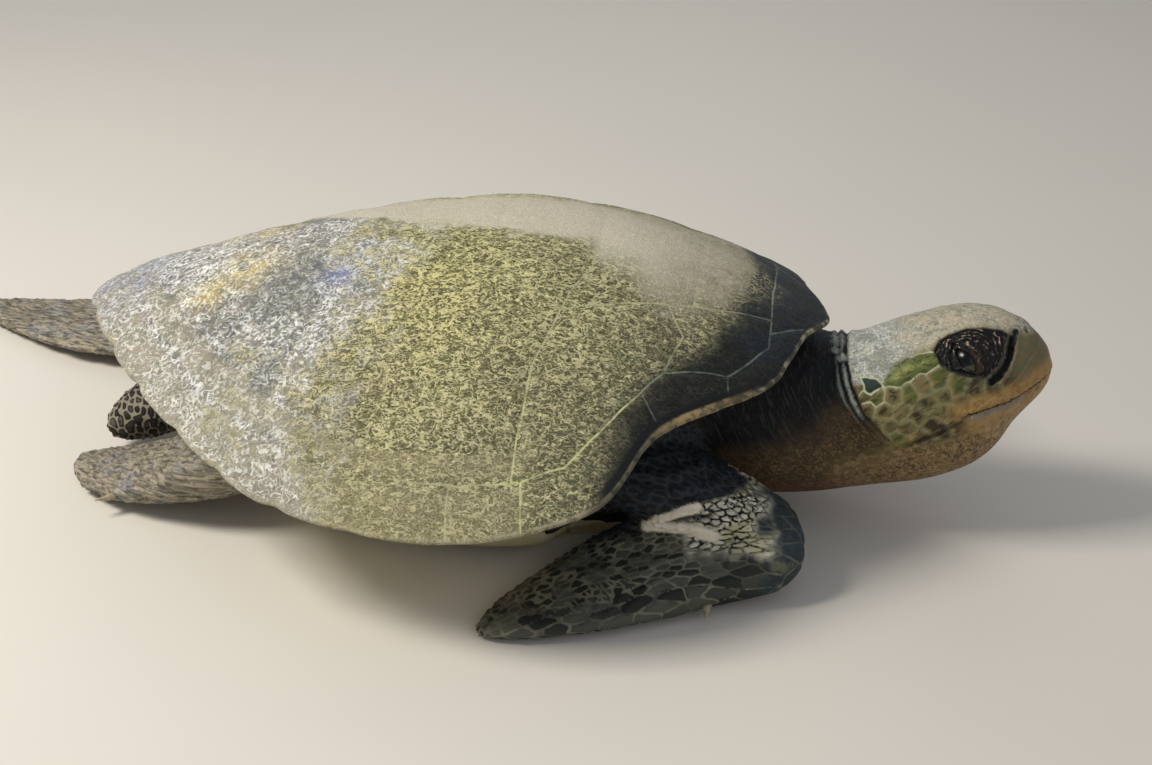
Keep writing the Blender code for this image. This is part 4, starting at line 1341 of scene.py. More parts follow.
def skin_zones(points, head, fields, edges):
    """Where the skin has which colour, as soft masks."""
    cloud = roughness_of(points, 0.030, 21.0, 3)
    small = roughness_of(points, 0.010, 27.0, 2)
    x, side, z = head[:, 0], abs(head[:, 1]), head[:, 2]
    way = fields["collar"]
    on_head = step_up(way, 0.0022, 0.0042)
    # Low down no collar parts head and neck, so the colours run into each other
    low = step_up(-z + 0.006 * cloud, 0.022, 0.046)
    on_head = on_head * (1 - low) + low * step_up(way, -0.075, 0.020)
    crown = step_up(z - from_table(x, CROWN_EDGE) + 0.002 * cloud, -0.004, 0.004) * on_head
    mouth_level = from_table(x, MOUTH[::-1])
    above, below = z - mouth_level, mouth_level - z
    throat = step_up(-z + 0.006 * cloud, 0.030, 0.044)
    neck = (1 - on_head) * step_up(points[:, 0], 0.20, 0.24) * (1 - fields["limb"]) * (way < 0.03)
    # The neck is painted black high up and toward the shell: dark skin, darkened further as painted shade
    # under the shell's front
    rising = points[:, 2] + 0.45 * (0.36 - points[:, 0]).clip(0, 1)
    dark_neck = neck * step_up(rising + 0.014 * cloud, 0.106, 0.146)
    green = np.isin(fields["cells"], shield_number("green"))
    wedge = np.isin(fields["cells"], shield_number("wedge"))
    red = step_up(0.064 - points[:, 2] + 0.008 * small, 0.0, 0.022) * neck
    beside = spread(green, edges, 4) * (1 - crown)
    lattice = step_up(0.032 - x, 0.0, 0.008) * step_up(z, -0.006, 0.006)
    line = np.where(x > 0.088, 0.06, 0.16 + 0.84 * np.maximum(lattice, step_up(beside, 0.02, 0.3)))
    line *= np.where((crown > 0.5) & ((x > 0.046) | (z > 0.043)), 0.2, 1.0)
    kind, limb = fields["kind"], fields["limb"]
    return dict(
        border=fields["border"], tone=fields["tone"], on_head=on_head, crown=crown,
        crown_rear=crown * step_up(0.064 - x + 0.016 * cloud, -0.012, 0.040),
        line=spread(line, edges, 2) * on_head * (1 - throat),
        lid=step_up(fields["oval"], -0.0010, 0.0012) * step_up(x, 0.06, 0.07) * (z > 0),
        crest=fields["crest"], crest_high=step_up(fields["rise"], 0.0, 0.012), lid_brown=fields["lid_brown"],
        lid_margin=fields["lid_margin"] * step_up(x, 0.06, 0.07),
        groove=step_up(bump_of(fields["groove"], 0.0030), 0.25, 0.7)
        * (side > 0.008) * (x > 0.08) * (z > -0.01),
        groove_lip=bump_of(fields["groove"] - 0.0050, 0.0011) * (side > 0.010) * (x > 0.10) * (z > -0.005),
        throat=throat * step_up(way, -0.090, -0.010), neck=neck, dark_neck=dark_neck, red=red,
        snout=step_up(x + 0.6 * z, 0.128, 0.152) * step_up(above, -0.002, 0.006) * (1 - crown),
        lip=step_up(0.021 - above, 0.0, 0.012) * step_up(above, -0.001, 0.001) * step_up(x, 0.070, 0.092),
        jaw=step_up(below, -0.001, 0.001) * step_up(x, 0.076, 0.104) * step_up(z, -0.078, -0.048),
        jaw_band=step_up(below, 0.0, 0.001) * step_up(0.010 - below, 0.0, 0.007) * step_up(x, 0.088, 0.100)
        * step_up(0.158 - x, 0.0, 0.02),
        green=spread(green, edges, 1), wedge=spread(wedge, edges, 1), nostril=fields["nostril"],
        mouth_rise=np.clip(above, -0.006, 0.006), mouth_on=step_up(x, 0.086, 0.096),
        crease=bump_of(fields["crease"], 0.0018), collar=way,
        collar_pale=step_up(fields["collar_pale"], 0.52, 0.84) * (1 - on_head),
        collar_gap=fields["collar_gap"],
        # arm: the front limb above the worn bend, painted nearly black in the material as painted shade under
        # the shell
        limb=spread(limb, edges, 3), arm=spread(fields["front"] * (1 - fields["paw"]), edges, 2),
        hind=spread(np.isin(kind, HIND_KINDS) & limb, edges, 4),
        tail=spread((kind == TAIL_KIND) & limb, edges, 4),
        worn=spread(fields["worn"] * limb, edges, 1), plate=spread(fields["plate"] * limb, edges, 2),
        fold_skin=fields["fold_skin"] * (kind <= LAST_FRONT) * limb,
        fold_crack=fields["fold_crack"] * (kind <= LAST_FRONT) * limb,
        limb_way=fields["limb_way"], limb_out=fields["limb_out"],
        rows=fields["rows"] * (1 - limb), front_trunk=step_up(points[:, 0], 0.06, 0.12))


def shield_number(name):
    """Numbers of a side shield on the two sides."""
    place = list(SIDE_SHIELDS).index(name)
    first = len(MIDDLE_SHIELDS) + 2 * place
    return first, first + 1


# ---------------------------------------------------------------------- beak
BEAK_LIFT = 0.00050             # how far the horn rises over the skin beside it
BEAK_RAMP = 0.0020              # over which way from its edge
BEAK_SINK = 0.00022             # how far its edge lies under the skin


def beak_mesh(skin, outline, name, thickness):
    """Horn sheath lifted off the skin inside a side-view outline of the head."""
    shape = bmesh.new()
    shape.from_mesh(skin)
    shape.faces.ensure_lookup_table()
    centres = in_head(np.array([face.calc_center_median() for face in shape.faces]))
    inside = inside_of(centres[:, [0, 2]], outline)
    bmesh.ops.delete(shape, geom=[f for f, keep in zip(shape.faces, inside) if not keep], context='FACES')
    drop_islands(shape)
    for _ in range(5):
        rim = [vert for vert in shape.verts if vert.is_boundary]
        bmesh.ops.smooth_vert(shape, verts=rim, factor=0.5, use_axis_x=True, use_axis_y=True, use_axis_z=True)
    shape.normal_update()
    points = np.array([vert.co for vert in shape.verts])
    depth = abs(depth_in(in_head(points)[:, [0, 2]], outline))
    lift = BEAK_LIFT * step_up(depth, 0.0, BEAK_RAMP) - BEAK_SINK
    for vert, rise in zip(shape.verts, lift):
        vert.co += vert.normal * rise
    inner = bmesh.ops.extrude_face_region(shape, geom=shape.faces[:], use_keep_orig=True)["geom"]
    for vert in [item for item in inner if isinstance(item, bmesh.types.BMVert)]:
        vert.co -= vert.normal * thickness
    bmesh.ops.recalc_face_normals(shape, faces=shape.faces)
    return mesh_of(shape, name)


# ------------------------------------------------------------ eyes and claws
CORNEA_RISE = 0.0007
CORNEA_REACH = 0.008
CLAW_HEADING = (0.86, 0.50, -0.06)      # outwards, along the limb and up
CLAW_BULGE = 0.30                       # fullness of the claw's middle
CLAW_CURL = 0.0022                      # how far its tip bends over
CLAW_FLATNESS = 0.8
FLOOR_GAP = 0.0003                      # least height of a claw above the floor


def eye_mesh(side):
    """Eyeball with a slightly raised cornea; also its middle and three directions."""
    middle = head_place(EYE * (1, side, 1) - EYE_OUT * (1, side, 1) * EYE_SET_BACK)
    shape = bmesh.new()
    bmesh.ops.create_uvsphere(shape, u_segments=64, v_segments=40, radius=EYE_RADIUS)
    turn = np.array(Matrix.Rotation(-HEAD_PITCH, 3, 'Y'))
    look = turn @ (EYE_OUT * (1, side, 1))
    forward = turn @ np.array((1.0, 0.0, 0.0))
    upward = turn @ np.array((0.0, -EYE_OUT[2] * side, EYE_OUT[1]))
    spin = Vector((0, 0, 1)).rotation_difference(Vector(look)).to_matrix().to_4x4()
    for vert in shape.verts:
        if vert.co.z > 0:
            away = math.hypot(vert.co.x, vert.co.y)
            vert.co.z += CORNEA_RISE * math.exp(-(away / CORNEA_REACH) ** 2)
    bmesh.ops.transform(shape, matrix=Matrix.Translation(middle) @ spin, verts=shape.verts)
    return mesh_of(shape, "eye"), middle, look, forward, upward


def claw_mesh(stations, index, side):
    """Curved horn claw that leans back out of a limb's outer edge."""
    x, y, z, wide, _, tilt = stations[index]
    before, after = Vector(stations[index - 1][:2]), Vector(stations[index + 1][:2])
    along = (after - before).normalized()
    outward = Vector((along.y, -along.x)) * math.copysign(1, -along.x)
    out_share, along_share, rise = CLAW_HEADING
    plan = (outward * out_share + along * along_share).normalized()
    heading = Vector((plan.x, plan.y * side, rise)).normalized()
    lean = math.radians(tilt)
    edge = Vector((x + outward.x * wide * math.cos(lean),
                   side * (y + outward.y * wide * math.cos(lean)), z - wide * math.sin(lean)))
    middle = edge + heading * (CLAW_LENGTH / 2 - CLAW_ROOT)
    middle.z = max(middle.z, CLAW_RADIUS + 0.0004)
    shape = bmesh.new()
    bmesh.ops.create_cone(
        shape, cap_ends=True, segments=24, radius1=CLAW_RADIUS, radius2=CLAW_TIP, depth=CLAW_LENGTH)
    sides = [edge for edge in shape.edges if abs(edge.verts[0].co.z - edge.verts[1].co.z) > 0.001]
    bmesh.ops.subdivide_edges(shape, edges=sides, cuts=12)
    for vert in shape.verts:
        share = vert.co.z / CLAW_LENGTH + 0.5
        fuller = 1 + CLAW_BULGE * math.sin(math.pi * min(share * 1.1, 1))
        vert.co.x = vert.co.x * fuller + CLAW_CURL * share * share
        vert.co.y = vert.co.y * fuller * CLAW_FLATNESS
    turn = Vector((0, 0, 1)).rotation_difference(heading).to_matrix().to_4x4()
    bmesh.ops.transform(shape, matrix=Matrix.Translation(middle) @ turn, verts=shape.verts)
    for vert in shape.verts:
        vert.co.z = max(vert.co.z, FLOOR_GAP)
    bmesh.ops.recalc_face_normals(shape, faces=shape.faces)
    return mesh_of(shape, "claw")


# -------------------------------------------------------------- belly shell
BELLY_SEAMS = (
    ((0.235, 0.0), (-0.262, 0.0)), ((0.190, 0.0), (0.196, 0.080)), ((0.118, 0.0), (0.128, 0.130)),
    ((0.030, 0.0), (0.026, 0.185)), ((-0.060, 0.0), (-0.064, 0.185)), ((-0.150, 0.0), (-0.160, 0.105)),
    ((-0.215, 0.0), (-0.224, 0.070)), ((0.112, 0.185), (0.026, 0.185), (-0.064, 0.185), (-0.104, 0.190)),
    ((0.026, 0.185), (0.020, 0.300)), ((-0.040, 0.185), (-0.044, 0.300)), ((0.075, 0.185), (0.070, 0.300)),
)


BELLY_VOXEL = 0.0032
BELLY_WEAR = 0.0004
BELLY_SEAM_DEPTH = 0.0008
BELLY_FLAT = 0.0015             # level up to which the belly shell counts as its resting flat


def plastron_mesh():
    """Belly shell from a copy of its solid, with seams pressed in."""
    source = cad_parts["plastron"].data
    shape = bmesh.new()
    shape.from_mesh(source)
    bmesh.ops.remove_doubles(shape, verts=shape.verts, dist=1e-5)
    mesh = shaped(mesh_of(shape, "plastron_copy"), 'REMESH', mode='VOXEL', voxel_size=BELLY_VOXEL)
    points, edges = read_points(mesh), read_edges(mesh)
    level = points[:, 2].copy()
    points = spread(points, edges, 6)
    write_points(mesh, points)
    normals = read_points(mesh, "normal")
    folded = np.column_stack([points[:, 0], abs(points[:, 1])])
    distance, _ = to_line(folded, BELLY_SEAMS)
    wear = BELLY_WEAR * roughness_of(points, 0.04, 31.0, 3)
    pressed = BELLY_SEAM_DEPTH * bump_of(distance, 0.0022)
    points = points + normals * (np.minimum(wear, 0) - pressed)[:, None]
    flat = level < BELLY_FLAT
    points[:, 2] = np.where(flat & (distance > 0.004), 0.0, points[:, 2]).clip(0.0)
    write_points(mesh, points)
    store(mesh, "seam", distance)
    return mesh


# ----------------------------------------------------------------- materials
def node(tree, kind, inputs=None, **settings):
    """Add a node with its settings; an input is a value or a socket to link."""
    made = tree.nodes.new(kind)
    for key, value in settings.items():
        setattr(made, key, value)
    for socket, value in (inputs or {}).items():
        if isinstance(value, bpy.types.NodeSocket):
            tree.links.new(value, made.inputs[socket])
        else:
            made.inputs[socket].default_value = value
    return made


def start_material(name, roughness, fields=(), specular=0.28):
    """Material with a Principled shader; returns it, its tree, shader, coordinates and mesh fields."""
    made = bpy.data.materials.new(name)
    made.use_nodes = True
    tree = made.node_tree
    shader = tree.nodes["Principled BSDF"]
    shader.inputs["Roughness"].default_value = roughness
    shader.inputs["Specular IOR Level"].default_value = specular
    place = node(tree, 'ShaderNodeTexCoord').outputs["Object"]
    own = {field: node(tree, 'ShaderNodeAttribute', attribute_name=field).outputs["Fac"] for field in fields}
    return made, tree, shader, place, SimpleNamespace(**own)


def mask(tree, *factors):
    """Product of factors; one given as (value, low, high, ...) is a smooth step between two limits."""
    total = None
    for factor in factors:
        if isinstance(factor, tuple):
            value, low, high, *ends = factor
            out_low, out_high = ends or (0.0, 1.0)
            factor = node(tree, 'ShaderNodeMapRange', {0: value, 1: low, 2: high, 3: out_low, 4: out_high},
                          interpolation_type='SMOOTHSTEP').outputs[0]
        total = factor if total is None else node(
            tree, 'ShaderNodeMath', {0: total, 1: factor}, operation='MULTIPLY').outputs[0]
    return total


def piled(tree, *layers):
    """Sum of layers, each a tuple of factors as mask() takes them."""
    total = mask(tree, *layers[0])
    for factors in layers[1:]:
        level = mask(tree, *factors)
        total = node(tree, 'ShaderNodeMath', {0: total, 1: level}, operation='ADD').outputs[0]
    return total


def paint(tree, base, layers):
    """Lay colours over a base one after another; a layer is a colour and the factors of its mask."""
    if not isinstance(base, bpy.types.NodeSocket):
        base = (*base, 1.0)
    for colour, *factors in layers:
        base = node(tree, 'ShaderNodeMix', {0: mask(tree, *factors), 6: base, 7: (*colour, 1.0)},
                    data_type='RGBA').outputs[2]
    return base


def curl_of(tree, value, wide, narrow):
    """Thin curled strokes along the level line of a noise."""
    centred = node(tree, 'ShaderNodeMath', {0: value, 1: 0.5}, operation='SUBTRACT').outputs[0]
    away = node(tree, 'ShaderNodeMath', {0: centred}, operation='ABSOLUTE').outputs[0]
    return mask(tree, (away, wide, narrow))


def horn_shell_material(colours):
    """Keratin scutes, dry and weathered: matt, flecked and scuffed, pale in the seams, with painted shade
    toward the front and a painted highlight on the sunlit flank.
    """
    made, tree, shader, place, m = start_material("weathered_keratin", 0.62, (
        "seam", "seam_side", "seam_show", "seam_lit", "rim_way", "bleach", "dust", "shade", "dark", "blue",
        "yellow", "sunny", "murky", "corner", "arch", "arch_front", "margin", "under"))
    # Flecks 2 to 5 mm long, as algae and scratches leave them, drawn out fore and aft
    warp = node(tree, 'ShaderNodeTexNoise', {"Vector": place, "Scale": 60.0, "Detail": 2.0}).outputs["Color"]
    bent = node(tree, 'ShaderNodeVectorMath', {0: warp, "Scale": 0.006}, operation='SCALE').outputs[0]
    bent = node(tree, 'ShaderNodeVectorMath', {0: place, 1: bent}, operation='ADD').outputs[0]
    drawn = node(tree, 'ShaderNodeMapping', {"Vector": bent, "Scale": (0.66, 1.0, 1.0)}).outputs[0]
    fleck = node(tree, 'ShaderNodeTexNoise', {
        "Vector": drawn, "Scale": 380.0, "Detail": 2.5, "Roughness": 0.55, "Distortion": 1.5}).outputs["Fac"]
    streak = node(tree, 'ShaderNodeTexNoise', {
        "Vector": bent, "Scale": 120.0, "Detail": 3.5, "Roughness": 0.6, "Distortion": 2.4}).outputs["Fac"]
    # Curled strokes about 1.5 mm wide and 5 to 10 mm long
    strokes = node(tree, 'ShaderNodeTexNoise', {
        "Vector": drawn, "Scale": 165.0, "Detail": 1.5, "Distortion": 0.9}).outputs["Fac"]
    curl = curl_of(tree, strokes, 0.055, 0.028)
    lash = node(tree, 'ShaderNodeTexNoise', {
        "Vector": bent, "Scale": 105.0, "Detail": 1.5, "Distortion": 1.2}).outputs["Fac"]
    long_curl = curl_of(tree, lash, 0.050, 0.026)
    patch = node(tree, 'ShaderNodeTexNoise', {
        "Vector": place, "Scale": 15.0, "Detail": 5.0, "Roughness": 0.62}).outputs["Fac"]
    blotch = node(tree, 'ShaderNodeTexNoise', {
        "Vector": place, "Scale": 34.0, "Detail": 4.0, "Roughness": 0.62, "Distortion": 0.6}).outputs["Fac"]
    fine = node(tree, 'ShaderNodeTexNoise', {"Vector": place, "Scale": 650.0, "Detail": 3.0}).outputs["Fac"]
    grime = node(tree, 'ShaderNodeTexNoise', {"Vector": drawn, "Scale": 120.0, "Detail": 4.0}).outputs["Fac"]
    spots = piled(tree, (curl, 0.85), ((fleck, 0.5, 0.59),))
    # Fewer flecks under the painted shade toward the front and on the dark front
    flecks = mask(
        tree, spots, (patch, 0.35, 0.62, 0.65, 1.0), (grime, 0.36, 0.56, 0.45, 1.0),
        (m.shade, 0.0, 1.0, 1.0, 0.5), (m.bleach, 0.35, 1.0, 1.0, 0.2), (m.dark, 0.0, 1.0, 1.0, 0.06))
    # Brightest flecks: lifted by a painted highlight on the sunlit flank
    bright = mask(
        tree, curl, (fleck, 0.46, 0.56), (m.sunny, 0.0, 1.0, 0.35, 1.0), (m.dark, 0.0, 0.6, 1.0, 0.0),
        (m.bleach, 0.4, 1.0, 1.0, 0.1))
    hollow = mask(tree, (fleck, 0.455, 0.385), (m.bleach, 0.2, 0.9, 0.75, 0.0))
    streaks = mask(
        tree, piled(tree, (long_curl, (grime, 0.4, 0.52)), ((streak, 0.52, 0.6, 0.0, 0.75),)), m.bleach,
        (patch, 0.36, 0.5, 0.55, 1.0), (m.murky, 0.0, 1.0, 1.0, 0.35))
    colour = paint(tree, colours.olive, [
        (colours.moss, (patch, 0.45, 0.62)),
        (colours.brown_olive, (blotch, 0.52, 0.66, 0.0, 0.7)),
        # Painted shade: the ground darkens toward the front
        (colours.shaded, m.shade, 0.85),
        (colours.hollow, hollow),
        (colours.slate, m.bleach),
        (colours.slate_dark, m.bleach, (streak, 0.48, 0.405, 0.0, 0.95)),
        (colours.slate_dark, m.bleach, (patch, 0.5, 0.38, 0.0, 0.75)),
        (colours.pinkish, m.bleach, (blotch, 0.5, 0.62, 0.0, 0.55)),
        (colours.slate_dark, m.bleach, m.murky, 0.9),
        (colours.blue_grey, m.blue, (blotch, 0.4, 0.54, 0.45, 1.0)),
        (colours.yellow_patch, m.yellow, (blotch, 0.42, 0.56, 0.3, 0.9)),
        # Dark front scutes and their blue-black corner: dark horn, darkened further as painted shade
        (colours.deep_olive, m.dark),
        (colours.corner, m.corner, (blotch, 0.42, 0.6, 0.25, 0.9)),
        (colours.fleck, flecks),
        # Yellow-green flecks: their own colour, stronger under the painted highlight of the sunny mask
        (colours.yellow_fleck, flecks, m.sunny, 0.9),
        (colours.bright_fleck, bright, 0.85),
        (colours.white_streak, streaks),
        (colours.blue_streak, streaks, m.blue, 0.95),
        (colours.yellow_streak, streaks, m.yellow, 0.85),
        (colours.dull_margin, m.margin, (fine, 0.35, 0.65, 0.12, 0.5)),
        (colours.dust, m.dust, (fine, 0.28, 0.62, 0.74, 0.97)),
        # Painted shade on the dust toward the front, patchy, with the shaded ground showing through in specks
        (colours.shaded_dust, m.dust, m.shade, (blotch, 0.42, 0.6, 0.5, 0.9)),
        (colours.shaded, m.dust, m.shade, (fleck, 0.5, 0.42, 0.0, 0.5)),
    ])
    beside_seam = node(tree, 'ShaderNodeMath', {0: m.seam_side}, operation='ABSOLUTE').outputs[0]
    line = mask(
        tree, (beside_seam, 0.0011, 0.0004), (m.seam, 0.0032, 0.0020), (m.dust, 0.0, 1.0, 1.0, 0.15),
        m.seam_show, (m.bleach, 0.0, 1.0, 1.0, 0.45), (grime, 0.35, 0.55, 0.35, 0.95))
    # Seams of the dark front are darker: their own colour deepened by painted shade
    seam_tint = paint(tree, colours.seam, [(colours.seam_dark, m.dark), (colours.seam_bright, m.seam_lit)])
    colour = node(tree, 'ShaderNodeMix', {0: line, 6: colour, 7: seam_tint}, data_type='RGBA').outputs[2]
    colour = paint(tree, colour, [
        (colours.rim, (m.rim_way, 0.0030, 0.0006), (grime, 0.42, 0.60, 0.15, 0.85)),
        (colours.deep_olive, m.arch, (m.rim_way, 0.0130, 0.0080)),
        (colours.underside, m.arch, (m.rim_way, 0.0036, 0.0022), (grime, 0.38, 0.55, 0.3, 0.9)),
        (colours.ochre, m.arch, m.arch_front, (m.rim_way, 0.0056, 0.0030), (grime, 0.40, 0.56, 0.25, 1.0)),
        (colours.underside, m.under),
    ])
    tree.links.new(colour, shader.inputs["Base Color"])
    tree.links.new(mask(tree, (m.dark, 0.0, 1.0, 0.66, 0.56)), shader.inputs["Roughness"])
    height = piled(tree, (flecks, 1.3), (fine,), (streaks, 2.0))
    bump = node(tree, 'ShaderNodeBump', {"Strength": 0.6, "Distance": 0.0010, "Height": height})
    tree.links.new(bump.outputs[0], shader.inputs["Normal"])
    return made


HEAD_MASKS = (
    "border", "tone", "on_head", "crown", "crown_rear", "line", "lid", "crest", "crest_high", "lid_brown",
    "lid_margin", "groove", "groove_lip", "throat", "snout", "lip", "jaw", "jaw_band", "green", "wedge",
    "nostril", "mouth_rise", "mouth_on", "crease")


def head_layers(tree, m, place, colours):
    """Colours of the head's shields, jaws and lids, shared by its skin and its horn."""
    cloud = node(tree, 'ShaderNodeTexNoise', {"Vector": place, "Scale": 45.0, "Detail": 4.0}).outputs["Fac"]
    mottle = node(tree, 'ShaderNodeTexNoise', {
        "Vector": place, "Scale": 210.0, "Detail": 4.0, "Distortion": 0.8}).outputs["Fac"]
    flake = node(tree, 'ShaderNodeTexNoise', {
        "Vector": place, "Scale": 400.0, "Detail": 3.0, "Distortion": 1.6}).outputs["Fac"]
    # Wrinkles 3 to 4 mm apart run down and back over the cheek and jaw
    leaning = node(tree, 'ShaderNodeMapping', {
        "Vector": place, "Rotation": (0.0, math.radians(-42), 0.0), "Scale": (3.6, 1.0, 1.0)},
        vector_type='TEXTURE').outputs[0]
    crinkle = node(tree, 'ShaderNodeTexNoise', {
        "Vector": leaning, "Scale": 230.0, "Detail": 3.0, "Distortion": 1.0}).outputs["Fac"]
    lash = node(tree, 'ShaderNodeTexNoise', {
        "Vector": place, "Scale": 165.0, "Detail": 2.5, "Distortion": 0.8}).outputs["Fac"]
    curl = mask(tree, curl_of(tree, lash, 0.060, 0.015), (flake, 0.44, 0.56, 0.1, 1.0))
    rise = node(tree, 'ShaderNodeMath', {0: m.mouth_rise}, operation='ABSOLUTE').outputs[0]
    edge = mask(tree, (m.border, 0.0012, 0.0003))
    centre = mask(tree, (m.border, 0.001, 0.005))
    head = m.on_head
    return [
        (colours.cheek, head),
        (colours.cheek_tan, head, (cloud, 0.46, 0.62, 0.0, 0.8)),
        (colours.cheek_brown, head, centre, (m.tone, 0.2, 0.5, 0.25, 1.0)),
        (colours.cheek_green, head, centre, (m.tone, 0.8, 0.86, 0.0, 0.75)),
        (colours.cheek_tan, head, (crinkle, 0.5, 0.6, 0.0, 0.5)),
        (colours.cheek_brown, head, (crinkle, 0.46, 0.37, 0.0, 0.55)),
        (colours.snout, m.snout),
        (colours.snout_grey, m.snout, (mottle, 0.46, 0.6, 0.0, 0.8)),
        (colours.lip, m.lip, (mottle, 0.35, 0.62, 0.95, 0.55)),
        (colours.jaw, m.jaw, 0.95),
        (colours.throat_pale, m.jaw, (crinkle, 0.48, 0.6, 0.0, 0.6)),
        (colours.throat_dark, m.jaw, (crinkle, 0.44, 0.36, 0.0, 0.5)),
        (colours.jaw_grey, m.jaw_band, (mottle, 0.4, 0.6, 0.85, 0.45)),
        (colours.throat, m.throat),
        (colours.throat_pale, m.throat, (mottle, 0.48, 0.6, 0.0, 0.8)),
        (colours.throat_dark, m.throat, (mottle, 0.45, 0.36, 0.0, 0.75)),
        (colours.crown, m.crown),
        (colours.crown_dark, m.crown, (mottle, 0.46, 0.6, 0.0, 0.75)),
        (colours.crown_pink, m.crown, (cloud, 0.5, 0.62, 0.0, 0.6)),
        (colours.crown_light, m.crown, (flake, 0.5, 0.62, 0.0, 0.45)),
        (colours.crown_light, m.crown, curl, (cloud, 0.4, 0.58, 0.25, 0.8)),
        (colours.crown_grey, m.crown_rear, 0.85),
        (colours.crown_dark, m.crown_rear, (mottle, 0.46, 0.36, 0.0, 0.7)),
        (colours.crown_white, m.crown_rear, (flake, 0.49, 0.6, 0.0, 0.5)),
        (colours.crown_white, m.crown_rear, curl, 0.85),
        (colours.crown_dark, m.crown_rear, (cloud, 0.5, 0.4, 0.0, 0.5)),
        (colours.green, m.green, (mottle, 0.42, 0.6, 0.95, 0.5)),
        (colours.green_pale, m.green, (m.border, 0.003, 0.011), (mottle, 0.36, 0.58, 0.3, 0.95)),
        (colours.cheek_brown, m.green, (crinkle, 0.46, 0.38, 0.0, 0.6)),
        (colours.wedge, m.wedge),
        (colours.shield_line, edge, m.line, (cloud, 0.38, 0.54, 0.45, 1.0)),
        (colours.lid, m.lid),
        (colours.lid_brown, m.lid, m.lid_brown, 0.7),
        (colours.lid_bead, m.lid, (m.crest, 0.4, 0.85, 0.0, 0.9), (flake, 0.42, 0.55, 0.2, 1.0)),
        (colours.lid_pink, m.lid, m.crest_high, (m.crest, 0.3, 0.7, 0.0, 0.9), (mottle, 0.44, 0.54)),
        (colours.lid_lilac, m.lid_margin, (mottle, 0.42, 0.56, 0.1, 0.35)),
        (colours.lid_bead, m.groove_lip, 0.6),
        # Painted shade: the groove behind the eye nearly black
        (colours.black_skin_and_shade, m.groove),
        (colours.mouth, m.crease, 0.65),
        # Painted shade in the nostrils
        (colours.black_skin_and_shade, m.nostril, 0.95),
        (colours.mouth, m.mouth_on, (rise, 0.0013, 0.0006)),
    ], mottle, flake


